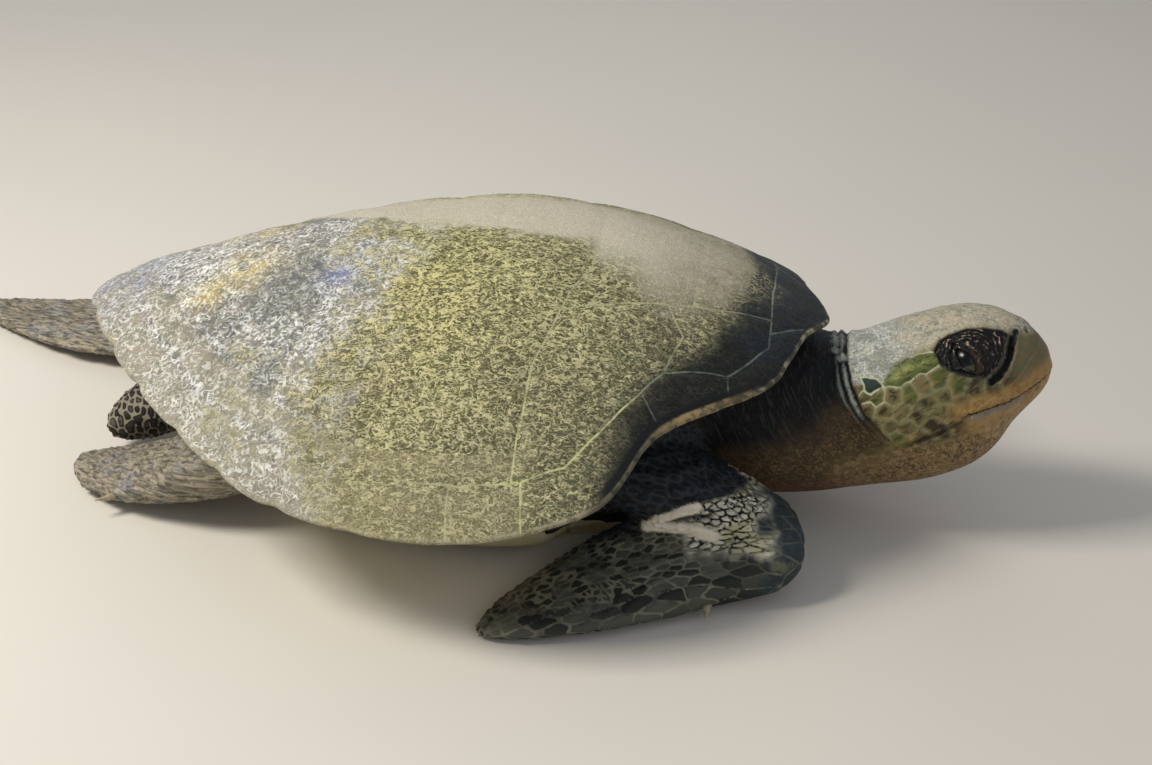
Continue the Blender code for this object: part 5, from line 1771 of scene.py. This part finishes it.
def skin_material(colours):
    """Reptile skin: dry horny scales with soft skin between, satin where it is smooth."""
    made, tree, shader, place, m = start_material("scaled_reptile_skin", 0.60, HEAD_MASKS + (
        "neck", "dark_neck", "red", "collar", "collar_pale", "collar_gap", "limb", "arm", "hind", "tail",
        "worn", "plate", "fold_skin", "fold_crack", "rows", "front_trunk", "limb_way", "limb_out"))
    layers, mottle, flake = head_layers(tree, m, place, colours)
    cloud = node(tree, 'ShaderNodeTexNoise', {"Vector": place, "Scale": 38.0, "Detail": 4.0}).outputs["Fac"]
    shaken = node(tree, 'ShaderNodeTexNoise', {
        "Vector": place, "Scale": 150.0, "Detail": 2.0}).outputs["Color"]
    shaken = node(tree, 'ShaderNodeVectorMath', {0: shaken, "Scale": 0.006}, operation='SCALE').outputs[0]
    shaken = node(tree, 'ShaderNodeVectorMath', {0: place, 1: shaken}, operation='ADD').outputs[0]
    grain = node(tree, 'ShaderNodeTexVoronoi', {"Vector": shaken, "Scale": 330.0, "Randomness": 1.0},
                 feature='DISTANCE_TO_EDGE').outputs["Distance"]
    # Fine wrinkles, 2 to 3 mm apart, run round the neck behind the collar's line
    axes = node(tree, 'ShaderNodeSeparateXYZ', {0: place})
    across, upright = (mask(tree, axes.outputs[axis], 0.16) for axis in "YZ")
    ringed = node(tree, 'ShaderNodeCombineXYZ', {0: m.collar, 1: across, 2: upright}).outputs[0]
    wrinkle = node(tree, 'ShaderNodeTexNoise', {
        "Vector": ringed, "Scale": 520.0, "Detail": 3.0, "Distortion": 0.6}).outputs["Fac"]
    # Wrinkles about 3 mm apart run along the limbs
    lengthwise = node(tree, 'ShaderNodeCombineXYZ', {
        0: m.limb_way, 1: m.limb_out, 2: axes.outputs["Z"]}).outputs[0]
    streaks = node(tree, 'ShaderNodeTexNoise', {
        "Vector": lengthwise, "Scale": 340.0, "Detail": 2.5, "Distortion": 0.5}).outputs["Fac"]
    edge = mask(tree, (m.border, 0.0013, 0.0003))
    limb_line = mask(tree, edge, (cloud, 0.4, 0.6, 0.3, 1.0))
    low_neck = node(tree, 'ShaderNodeMath', {0: m.neck, 1: m.dark_neck}, operation='SUBTRACT').outputs[0]
    colour = paint(tree, colours.flank, [
        # Dark skin and painted shade: the trunk's front under the shell is blue-black
        (colours.arch_skin_and_shade, m.front_trunk),
        # Painted highlight on the crests of the body's wrinkles
        (colours.ridge_highlight, m.rows, (flake, 0.35, 0.6, 0.2, 0.9)),
        (colours.limb, m.limb),
        (colours.limb_grey, m.limb, (m.tone, 0.3, 0.9, 0.0, 0.7)),
        (colours.hind, m.hind),
        (colours.hind_blue, m.hind, (cloud, 0.48, 0.62, 0.0, 0.6)),
        (colours.hind_pale, m.hind, (streaks, 0.5, 0.62, 0.0, 0.8)),
        (colours.hind_dark, m.hind, (streaks, 0.47, 0.38, 0.0, 0.8)),
        (colours.tail, m.tail),
        (colours.hind_pale, m.tail, (m.tone, 0.45, 0.9, 0.0, 0.16)),
        (colours.black_skin_and_shade, m.tail, (m.border, 0.003, 0.0014)),
        (colours.hind_pale, m.tail, (m.border, 0.0012, 0.0004, 0.0, 0.6)),
        (colours.scale_line, limb_line, m.limb, (m.hind, 0.0, 1.0, 0.75, 0.0), (m.tail, 0.0, 1.0, 1.0, 0.0)),
        (colours.plate, m.plate),
        (colours.plate_blue, m.plate, (mottle, 0.46, 0.62, 0.0, 0.65)),
        (colours.plate_tan, m.plate, (cloud, 0.52, 0.64, 0.0, 0.7)),
        (colours.scale_line, m.plate, limb_line, 0.6),
        (colours.worn_scale, m.worn, (m.tone, 0.0, 1.0, 1.0, 0.7)),
        (colours.worn_olive, m.worn, (cloud, 0.48, 0.58, 0.0, 0.6)),
        (colours.limb_grey, m.worn, (streaks, 0.46, 0.39, 0.0, 0.7)),
        (colours.black_skin_and_shade, m.worn, (streaks, 0.42, 0.36), (mottle, 0.45, 0.52)),
        (colours.black_skin_and_shade, m.worn, (m.border, 0.0014, 0.0004), (mottle, 0.38, 0.54, 0.5, 1.0)),
        # Painted shade: the upper arm nearly black, as it lies in the shadow under the shell
        (colours.arm, m.arm),
        # Scale edges of the arm, lighter as a painted highlight
        (colours.ridge_highlight, m.arm, edge, 0.35),
        (colours.fold_skin, m.fold_skin),
        (colours.fold_pink, m.fold_skin, (mottle, 0.48, 0.62, 0.0, 0.5)),
        # Painted shade in the gap between the flipper's folds
        (colours.black_skin_and_shade, m.fold_crack),
        (colours.neck_low, m.neck),
        (colours.throat, low_neck, (mottle, 0.47, 0.6, 0.0, 0.75)),
        (colours.throat_dark, low_neck, (grain, 0.16, 0.04, 0.0, 0.85)),
        (colours.throat_dark, low_neck, (wrinkle, 0.46, 0.36, 0.0, 0.75)),
        (colours.throat_red, m.red, (mottle, 0.38, 0.58, 0.15, 0.7)),
        (colours.red_gap, m.red, (grain, 0.1, 0.02, 0.0, 0.7)),
        # Dark skin and painted shade on the upper neck
        (colours.black_skin_and_shade, m.dark_neck),
        (colours.neck_line, m.dark_neck, (wrinkle, 0.52, 0.66, 0.0, 0.16)),
        # Painted shade in the gaps between the collar folds
        (colours.black_skin_and_shade, m.collar_gap, 0.95),
        (colours.fold, m.collar_pale, (mottle, 0.35, 0.6, 1.0, 0.6)),
    ] + layers + [(colours.throat_dark, m.throat, (grain, 0.14, 0.03, 0.0, 0.6))])
    tree.links.new(colour, shader.inputs["Base Color"])
    tree.links.new(mask(tree, (flake, 0.3, 0.7, 0.52, 0.7)), shader.inputs["Roughness"])
    soft = node(tree, 'ShaderNodeMath', {0: m.throat, 1: m.neck}, operation='MAXIMUM').outputs[0]
    height = piled(tree, ((grain, 0.0, 0.12), soft), (wrinkle, m.neck, 2.0), (flake,), (streaks, m.hind, 1.5))
    bump = node(tree, 'ShaderNodeBump', {"Strength": 0.55, "Distance": 0.0009, "Height": height})
    tree.links.new(bump.outputs[0], shader.inputs["Normal"])
    return made


def beak_material(colours, upper):
    """Beak keratin: smooth satin horn, whose colours run on from the skin beside it."""
    name = "beak_keratin_" + ("upper" if upper else "lower")
    made, tree, shader, place, m = start_material(name, 0.44, HEAD_MASKS)
    layers, mottle, _ = head_layers(tree, m, place, colours)
    # Growth streaks about 4 mm apart run down the horn
    streaks = node(tree, 'ShaderNodeMapping', {"Vector": place, "Scale": (1.0, 1.0, 0.22)}).outputs[0]
    lines = node(tree, 'ShaderNodeTexNoise', {
        "Vector": streaks, "Scale": 240.0, "Detail": 3.0}).outputs["Fac"]
    colour = paint(tree, colours.snout if upper else colours.jaw, layers[:-1] + [
        (colours.beak_streak, (lines, 0.52, 0.66, 0.0, 0.3)), layers[-1]])
    tree.links.new(colour, shader.inputs["Base Color"])
    height = piled(tree, (lines,), (mottle,))
    bump = node(tree, 'ShaderNodeBump', {"Strength": 0.25, "Distance": 0.0004, "Height": height})
    tree.links.new(bump.outputs[0], shader.inputs["Normal"])
    return made


def eye_material(colours, name, middle, look, forward, upward):
    """Wet eye: dark iris and pupil under a clear glossy cornea, paler below as a painted reflection of the
    ground.
    """
    made, tree, shader, place, _ = start_material("wet_eye_" + name, 0.20, specular=0.22)
    offset = node(tree, 'ShaderNodeVectorMath', {0: place, 1: tuple(middle)}, operation='SUBTRACT').outputs[0]
    level = node(tree, 'ShaderNodeVectorMath', {0: offset, 1: tuple(upward)},
                 operation='DOT_PRODUCT').outputs["Value"]
    dark_middle = tuple(look * 0.0168 - forward * 0.0015 + upward * 0.0025)
    away = node(tree, 'ShaderNodeVectorMath', {0: offset, 1: dark_middle},
                operation='DISTANCE').outputs["Value"]
    fibres = node(tree, 'ShaderNodeTexNoise', {"Vector": place, "Scale": 700.0, "Detail": 2.0}).outputs["Fac"]
    # The paler lower part is a painted reflection of the bright ground in the cornea
    colour = paint(tree, colours.eye_low_reflection, [
        (colours.iris, (fibres, 0.4, 0.7, 0.0, 0.35)),
        (colours.iris, (level, -0.0075, -0.0045)),
        (colours.iris, (away, 0.01, 0.0086)),
        (colours.pupil, (away, 0.0048, 0.0042)),
    ])
    tree.links.new(colour, shader.inputs["Base Color"])
    shader.inputs["Coat Weight"].default_value = 0.10
    shader.inputs["Coat Roughness"].default_value = 0.20
    return made


def claw_material(colours):
    """Claw keratin: pale satin horn with lengthwise streaks."""
    made, tree, shader, place, _ = start_material("claw_keratin", 0.40)
    lines = node(tree, 'ShaderNodeTexNoise', {"Vector": place, "Scale": 400.0, "Detail": 3.0}).outputs["Fac"]
    colour = paint(tree, colours.claw, [(colours.beak_streak, (lines, 0.48, 0.62, 0.0, 0.6))])
    tree.links.new(colour, shader.inputs["Base Color"])
    bump = node(tree, 'ShaderNodeBump', {"Strength": 0.3, "Distance": 0.0003, "Height": lines})
    tree.links.new(bump.outputs[0], shader.inputs["Normal"])
    return made


def belly_material(colours):
    """Belly keratin: cream horn worn matt by sand, with darker seams and stains."""
    made, tree, shader, place, m = start_material("worn_belly_keratin", 0.58, ("seam",))
    stain = node(tree, 'ShaderNodeTexNoise', {"Vector": place, "Scale": 18.0, "Detail": 5.0}).outputs["Fac"]
    scuff = node(tree, 'ShaderNodeTexNoise', {
        "Vector": place, "Scale": 160.0, "Detail": 3.0, "Distortion": 1.5}).outputs["Fac"]
    colour = paint(tree, colours.belly, [
        (colours.belly_stain, (stain, 0.5, 0.66, 0.0, 0.6)),
        (colours.belly_stain, (scuff, 0.58, 0.7, 0.0, 0.35)),
        (colours.belly_seam, (m.seam, 0.0022, 0.0006, 0.0, 0.7)),
    ])
    tree.links.new(colour, shader.inputs["Base Color"])
    bump = node(tree, 'ShaderNodeBump', {"Strength": 0.3, "Distance": 0.0005, "Height": scuff})
    tree.links.new(bump.outputs[0], shader.inputs["Normal"])
    return made


# ------------------------------------------------------------------ settings
class TurtleSizes(bpy.types.PropertyGroup):
    """Sizes of the finished surface."""
    shell_segments: IntProperty(
        name="Shell grid", description="Grid cells across the shell", default=296, min=40)
    seam_depth: span("Seam depth", "How deep the seams between scutes are", 0.0007)
    scute_swell: span("Scute swell", "How far the scutes rise between their seams", 0.0010)
    skin_voxel: span("Skin grid", "Spacing of the skin's mesh before the head is refined", 0.0034)
    plain_share: FloatProperty(
        name="Plain share", description="Share of faces kept where the skin is plain",
        default=0.30, min=0.1, max=1.0, subtype='FACTOR')
    beak_thickness: span("Horn thickness", "Thickness of the horn over the jaws", 0.0012)


class TurtleColours(bpy.types.PropertyGroup):
    """Colours of horn, skin and eyes."""
    olive: tint("Olive", "Ground colour of the scutes", "605C3C")
    moss: tint("Moss", "Greener patches of the scutes", "6C6A3E")
    brown_olive: tint("Brown olive", "Browner patches of the scutes", "70674A")
    # Painted shade toward the front, not a colour of the horn
    shaded: tint("Shaded olive", "Darker ground toward the front", "50513A")
    hollow: tint("Hollow", "Dark pits between the flecks", "3A3822")
    slate: tint("Slate", "Ground of the bleached rear scutes", "8C8C88")
    slate_dark: tint("Dark slate", "Grime in the bleached scutes", "545858")
    pinkish: tint("Pinkish", "Rosy bloom of the bleached scutes", "9E8E84")
    blue_grey: tint("Blue grey", "Bluish patches of the rear scutes", "6676AC")
    # Dark front scutes: dark horn, deepened by painted shade
    deep_olive: tint("Deep olive", "Dark front scutes", "0B0F0D")
    # Blue-black corner: dark horn, darkened further as painted shade
    corner: tint("Corner", "Blue-black front corner of the shell", "0C1820")
    fleck: tint("Fleck", "Pale flecks on the scutes", "C6BD94")
    # Yellow-green and brightest flecks: own colour, brighter on the flank as painted highlight
    yellow_fleck: tint("Yellow fleck", "Yellow-green flecks", "C8BF7C")
    bright_fleck: tint("Bright fleck", "Brightest yellow-green flecks", "DED79C")
    white_streak: tint("White streak", "Bleached streaks at the rear", "ECEBE4")
    blue_streak: tint("Blue streak", "Bluish streaks at the rear", "A2B0DC")
    yellow_streak: tint("Yellow streak", "Yellowish streaks at the rear", "E4D79C")
    yellow_patch: tint("Yellow patch", "Yellow stains at the rear", "C2AA5E")
    dull_margin: tint("Dull margin", "Dull film on the lower margin", "A29874")
    dust: tint("Dust", "Dry film on the crown of the shell", "CCC3AC")
    # Dust darkened toward the front as painted shade
    shaded_dust: tint("Dark dust", "Thin dust toward the front", "8E846A")
    seam: tint("Seam", "Pale growth line between scutes", "B2AE86")
    # Dark seam: its own colour, darker still as painted shade on the front
    seam_dark: tint("Dark seam", "Seam between the dark front scutes", "5C665E")
    seam_bright: tint("Bright seam", "Yellow-green seam low on the right and left", "C4C68A")
    rim: tint("Rim", "Worn edge of the margin", "A59C80")
    ochre: tint("Ochre", "Edge band over the front flipper", "9A845A")
    underside: tint("Underside", "Underside of the margin", "66614C")
    flank: tint("Flank", "Soft skin of the body", "39362B")
    # Dark skin, darkened further as painted shade in the arches
    arch_skin_and_shade: tint("Arch skin", "Blue-black skin under the front of the shell", "0A0C10")
    # Painted highlight: bluish sheen on wrinkle crests and raised edges
    ridge_highlight: tint("Arch ridge", "Crests of the body's wrinkles", "454B54")
    limb: tint("Limb", "Scales of the limbs", "23261F")
    limb_grey: tint("Grey limb", "Paler scales of the limbs", "5C5D50")
    plate: tint("Plate", "Large scales at the flipper's bend", "26302F")
    plate_blue: tint("Blue plate", "Bluish bloom of those scales", "36424A")
    plate_tan: tint("Tan plate", "Grey-green wear of those scales", "6E6A54")
    # Painted shade over the upper arm, which lies under the shell
    arm: tint("Arm", "Dark upper arm", "15171A")
    hind: tint("Hind", "Dry skin of the hind flippers", "7A7262")
    hind_dark: tint("Dark hind", "Darker scales of the hind flippers", "47433A")
    hind_pale: tint("Pale hind", "Pale ridges of the hind flippers", "A89C84")
    hind_blue: tint("Blue hind", "Bluish bloom of the hind flippers", "7C8084")
    tail: tint("Tail", "Dark folded skin of the tail", "2C2820")
    worn_scale: tint("Worn scale", "Pale worn scales of the front flipper", "DED8C2")
    worn_olive: tint("Worn olive", "Yellowish worn scales", "A8A46A")
    fold_skin: tint("Fold skin", "Smooth folds at the flipper's root", "E0D8C2")
    fold_pink: tint("Pink fold", "Rosy wear of the smooth folds", "D4C0AA")
    neck_low: tint("Low neck", "Grainy skin low on the neck", "5A472C")
    neck_line: tint("Neck line", "Worn ridges of the neck's wrinkles", "6C6D66")
    # Nearly black skin; in folds, cracks, grooves and nostrils it is painted shade
    black_skin_and_shade: tint("Black skin", "Nearly black skin and deep folds", "08090B")
    throat: tint("Throat", "Skin of the throat", "866E48")
    throat_pale: tint("Pale throat", "Pale grains of the throat", "A88C60")
    throat_dark: tint("Dark throat", "Wrinkles and gaps of the throat", "3C2E1C")
    throat_red: tint("Red throat", "Reddish grains low on the neck", "7A4434")
    red_gap: tint("Red gap", "Dark skin between those grains", "2A1410")
    cheek: tint("Cheek", "Cheek scales", "706E46")
    cheek_tan: tint("Tan cheek", "Tan mottle of the cheek", "7C6A40")
    cheek_brown: tint("Brown cheek", "Dark middles of the cheek scales", "33291A")
    cheek_green: tint("Green cheek", "Green middles of some cheek scales", "515E24")
    crown: tint("Crown", "Top of the head", "A49E86")
    crown_dark: tint("Dark crown", "Mottle on top of the head", "66675A")
    crown_light: tint("Light crown", "Pale flakes on top of the head", "C6C0A6")
    crown_pink: tint("Pink crown", "Rosy patches on top of the head", "AC9782")
    crown_grey: tint("Grey crown", "Bluish back of the head", "8C8F88")
    crown_white: tint("White crown", "Pale flakes at the back of the head", "D4D4C8")
    green: tint("Green shield", "Large shield behind the eye", "4E5822")
    green_pale: tint("Pale green", "Pale mottle of that shield", "8E9450")
    wedge: tint("Wedge shield", "Dark green shield", "1F3028")
    snout: tint("Snout", "Front of the snout", "6E6040")
    snout_grey: tint("Grey snout", "Grey-green mottle of the snout", "5C6049")
    lip: tint("Lip", "Horn along the upper bite", "A4804A")
    jaw: tint("Jaw", "Lower jaw", "9A7A48")
    jaw_grey: tint("Grey jaw", "Grey band under the bite", "7A736C")
    shield_line: tint("Shield line", "Pale lines between head shields", "B2B494")
    scale_line: tint("Scale line", "Pale edges of the limbs' scales", "87826C")
    lid: tint("Lid", "Dark wrinkled lids", "0A0909")
    lid_bead: tint("Lid bead", "Paler crests of the lids", "5E5846")
    lid_pink: tint("Pink lid", "Rosy crests over the eye", "A8927E")
    lid_brown: tint("Brown lid", "Brown rim in front of the eye's opening", "5A4028")
    lid_lilac: tint("Lilac lid", "Greyish ridge under the eye", "6E6A70")
    mouth: tint("Mouth", "Line of the mouth", "301A12")
    fold: tint("Fold", "Pale crests of the collar folds", "A2A89C")
    beak_streak: tint("Beak streak", "Growth streaks of the horn", "746340")
    iris: tint("Iris", "Iris", "0A0908")
    pupil: tint("Pupil", "Pupil", "020202")
    # Painted reflection of the ground low in the eye
    eye_low_reflection: tint("Low eye", "Paler lower part of the eye", "4A4C38")
    claw: tint("Claw", "Claw horn", "A89E80")
    belly: tint("Belly", "Belly horn", "CBBF93")
    belly_stain: tint("Belly stain", "Stains of the belly horn", "9C8B5E")
    belly_seam: tint("Belly seam", "Seams of the belly horn", "7A6A48")
    floor: tint("Floor", "Studio floor", "D8D2C6")


class TurtleStage(bpy.types.PropertyGroup):
    """Camera and light."""
    lens: FloatProperty(name="Lens", description="Focal length in millimetres", default=55.2, min=10.0)
    distance: span("Distance", "From the camera to the point it looks at", 1.62)
    azimuth: angle("Azimuth", "Turn of the camera", 6)
    elevation: angle("Elevation", "Camera angle above the floor", 28)
    roll: angle("Roll", "Tilt of the camera", 2.9)
    target: FloatVectorProperty(
        name="Target", description="Point that the camera looks at", default=(0.115, 0.0, 0.0985),
        subtype='TRANSLATION', unit='LENGTH')
    key: FloatProperty(name="Key light", description="Power of the key light in watts", default=46.0)
    fill: FloatProperty(name="Fill light", description="Power of the fill light in watts", default=5.0)
    world: FloatProperty(name="Room light", description="Strength of the room's light", default=0.38)


# ----------------------------------------------------------------- operators
class TURTLE_OT_carapace(bpy.types.Operator):
    """Upper shell with its scutes"""
    bl_idname = "turtle.carapace"
    bl_label = "Upper shell"

    def execute(self, context):
        scene = context.scene
        finish = horn_shell_material(scene.turtle_colours)
        add_piece("carapace_horn", carapace_mesh(scene.turtle_sizes), finish, ("carapace",))
        return {'FINISHED'}


class TURTLE_OT_plastron(bpy.types.Operator):
    """Belly shell with its seams"""
    bl_idname = "turtle.plastron"
    bl_label = "Belly shell"

    def execute(self, context):
        add_piece("belly_horn", plastron_mesh(), belly_material(context.scene.turtle_colours),
                  ("plastron",))
        return {'FINISHED'}


class TURTLE_OT_skin(bpy.types.Operator):
    """One skin over trunk, neck, head, limbs and tail"""
    bl_idname = "turtle.skin"
    bl_label = "Skin"

    def execute(self, context):
        scene = context.scene
        nodes = ["trunk", "neck", "head"] + [name for name, _, _ in LIMBS]
        add_piece("scaled_skin", skin_mesh(scene.turtle_sizes), skin_material(scene.turtle_colours),
                  nodes)
        return {'FINISHED'}


class TURTLE_OT_beak(bpy.types.Operator):
    """Horn of the two jaws, lifted off the skin"""
    bl_idname = "turtle.beak"
    bl_label = "Beak"

    def execute(self, context):
        scene = context.scene
        skin = bpy.data.objects["scaled_skin"].data
        thickness = scene.turtle_sizes.beak_thickness
        upper = list(MOUTH) + list(BEAK_BROW)[1:]
        lower = list(MOUTH) + list(JAW_REAR)[1:]
        for name, outline, is_upper in (("upper", upper, True), ("lower", lower, False)):
            mesh = beak_mesh(skin, outline, "beak_horn_" + name, thickness)
            add_piece("beak_horn_" + name, mesh, beak_material(scene.turtle_colours, is_upper),
                      ("beak_" + name,))
        return {'FINISHED'}


class TURTLE_OT_eyes(bpy.types.Operator):
    """Two wet eyeballs behind the lids"""
    bl_idname = "turtle.eyes"
    bl_label = "Eyes"

    def execute(self, context):
        for name, side in (("left", 1), ("right", -1)):
            mesh, *place = eye_mesh(side)
            finish = eye_material(context.scene.turtle_colours, name, *place)
            add_piece("eyeball_" + name, mesh, finish, ("eye_" + name,))
        return {'FINISHED'}


class TURTLE_OT_claws(bpy.types.Operator):
    """One horn claw on each flipper"""
    bl_idname = "turtle.claws"
    bl_label = "Claws"

    def execute(self, context):
        finish = claw_material(context.scene.turtle_colours)
        left_blade = moved(FRONT_BLADE, LEFT_FRONT_SHIFT)
        claws = (("front_right", FRONT_BLADE, 4, -1), ("front_left", left_blade, 4, 1),
                 ("hind_right", HIND_RIGHT, 3, -1), ("hind_left", HIND_LEFT, 3, 1))
        for name, stations, index, side in claws:
            add_piece("horn_claw_" + name, claw_mesh(stations, index, side), finish,
                      ("claw_" + name,))
        return {'FINISHED'}


class TURTLE_OT_stage(bpy.types.Operator):
    """Pale floor, soft light and camera"""
    bl_idname = "turtle.stage"
    bl_label = "Stage"

    def execute(self, context):
        scene = context.scene
        stage = scene.turtle_stage
        shape = bmesh.new()
        bmesh.ops.create_grid(shape, x_segments=1, y_segments=1, size=7.0)
        floor = bpy.data.objects.new("studio_floor", mesh_of(shape, "studio_floor"))
        made, tree, shader, place, _ = start_material("painted_floor", 0.8)
        cloud = node(tree, 'ShaderNodeTexNoise', {
            "Vector": place, "Scale": 3.0, "Detail": 3.0}).outputs["Fac"]
        colour = paint(tree, scene.turtle_colours.floor, [(FLOOR_CLOUD, (cloud, 0.3, 0.7, 0.0, 0.05))])
        tree.links.new(colour, shader.inputs["Base Color"])
        floor.data.materials.append(made)
        scene.collection.objects.link(floor)
        add_lamp("key_light", (-1.35, -0.65, 1.75), 0.7, stage.key, (1.0, 0.96, 0.90))
        add_lamp("fill_light", (1.5, -1.6, 1.0), 1.6, stage.fill, (0.90, 0.95, 1.0))
        add_lamp("rear_light", (0.2, 1.9, 1.6), 1.4, stage.fill, (1.0, 0.98, 0.95))
        world = bpy.data.worlds.new("studio_room")
        world.use_nodes = True
        world.node_tree.nodes["Background"].inputs["Color"].default_value = (0.86, 0.90, 1.0, 1.0)
        world.node_tree.nodes["Background"].inputs["Strength"].default_value = stage.world
        scene.world = world
        scene.view_settings.view_transform = 'Standard'
        add_camera(stage)
        return {'FINISHED'}


def add_lamp(name, place, size, power, colour):
    """Square soft light that looks at the middle of the turtle."""
    lamp = bpy.data.lights.new(name, 'AREA')
    lamp.size = size
    lamp.energy = power
    lamp.color = colour
    holder = bpy.data.objects.new(name, lamp)
    holder.location = place
    holder.rotation_euler = (Vector(LAMP_TARGET) - Vector(place)).to_track_quat('-Z', 'Y').to_euler()
    bpy.context.scene.collection.objects.link(holder)


def add_camera(stage):
    """Camera at its distance and angles from the target, rolled about its axis."""
    azimuth, elevation = stage.azimuth, stage.elevation
    back = Vector((math.sin(azimuth) * math.cos(elevation), -math.cos(azimuth) * math.cos(elevation),
                   math.sin(elevation)))
    right = Vector((0, 0, 1)).cross(back).normalized()
    up = back.cross(right)
    right, up = (right * math.cos(stage.roll) + up * math.sin(stage.roll),
                 up * math.cos(stage.roll) - right * math.sin(stage.roll))
    lens = bpy.data.cameras.new("camera")
    lens.lens = stage.lens
    lens.sensor_width = 36.0
    camera = bpy.data.objects.new("camera", lens)
    turn = Matrix((right, up, back)).transposed().to_4x4()
    camera.matrix_world = Matrix.Translation(Vector(stage.target) + back * stage.distance) @ turn
    bpy.context.scene.collection.objects.link(camera)
    bpy.context.scene.camera = camera


class TURTLE_PT_panel(bpy.types.Panel):
    """Lists the sizes, colours and steps of the turtle"""
    bl_idname = "TURTLE_PT_panel"
    bl_label = "Sea turtle"
    bl_space_type = 'VIEW_3D'
    bl_region_type = 'UI'
    bl_category = "Turtle"

    def draw(self, context):
        layout = self.layout
        for operator in OPERATORS:
            layout.operator(operator.bl_idname)
        for group in ("turtle_sizes", "turtle_stage", "turtle_colours"):
            settings = getattr(context.scene, group)
            for name in settings.bl_rna.properties.keys():
                if name not in ("rna_type", "name"):
                    layout.prop(settings, name)


OPERATORS = (TURTLE_OT_carapace, TURTLE_OT_plastron, TURTLE_OT_skin, TURTLE_OT_beak,
             TURTLE_OT_eyes, TURTLE_OT_claws, TURTLE_OT_stage)
CLASSES = (TurtleSizes, TurtleColours, TurtleStage) + OPERATORS + (TURTLE_PT_panel,)


def register():
    """Add the classes and the scene's settings."""
    for made in CLASSES:
        bpy.utils.register_class(made)
    bpy.types.Scene.turtle_sizes = PointerProperty(type=TurtleSizes)
    bpy.types.Scene.turtle_colours = PointerProperty(type=TurtleColours)
    bpy.types.Scene.turtle_stage = PointerProperty(type=TurtleStage)


def unregister():
    """Take them away again."""
    for name in ("turtle_sizes", "turtle_colours", "turtle_stage"):
        delattr(bpy.types.Scene, name)
    for made in reversed(CLASSES):
        bpy.utils.unregister_class(made)


def main():
    """Build every piece."""
    register()
    bpy.ops.turtle.carapace()
    bpy.ops.turtle.plastron()
    bpy.ops.turtle.skin()
    bpy.ops.turtle.beak()
    bpy.ops.turtle.eyes()
    bpy.ops.turtle.claws()
    bpy.ops.turtle.stage()


if __name__ == "__main__":
    main()
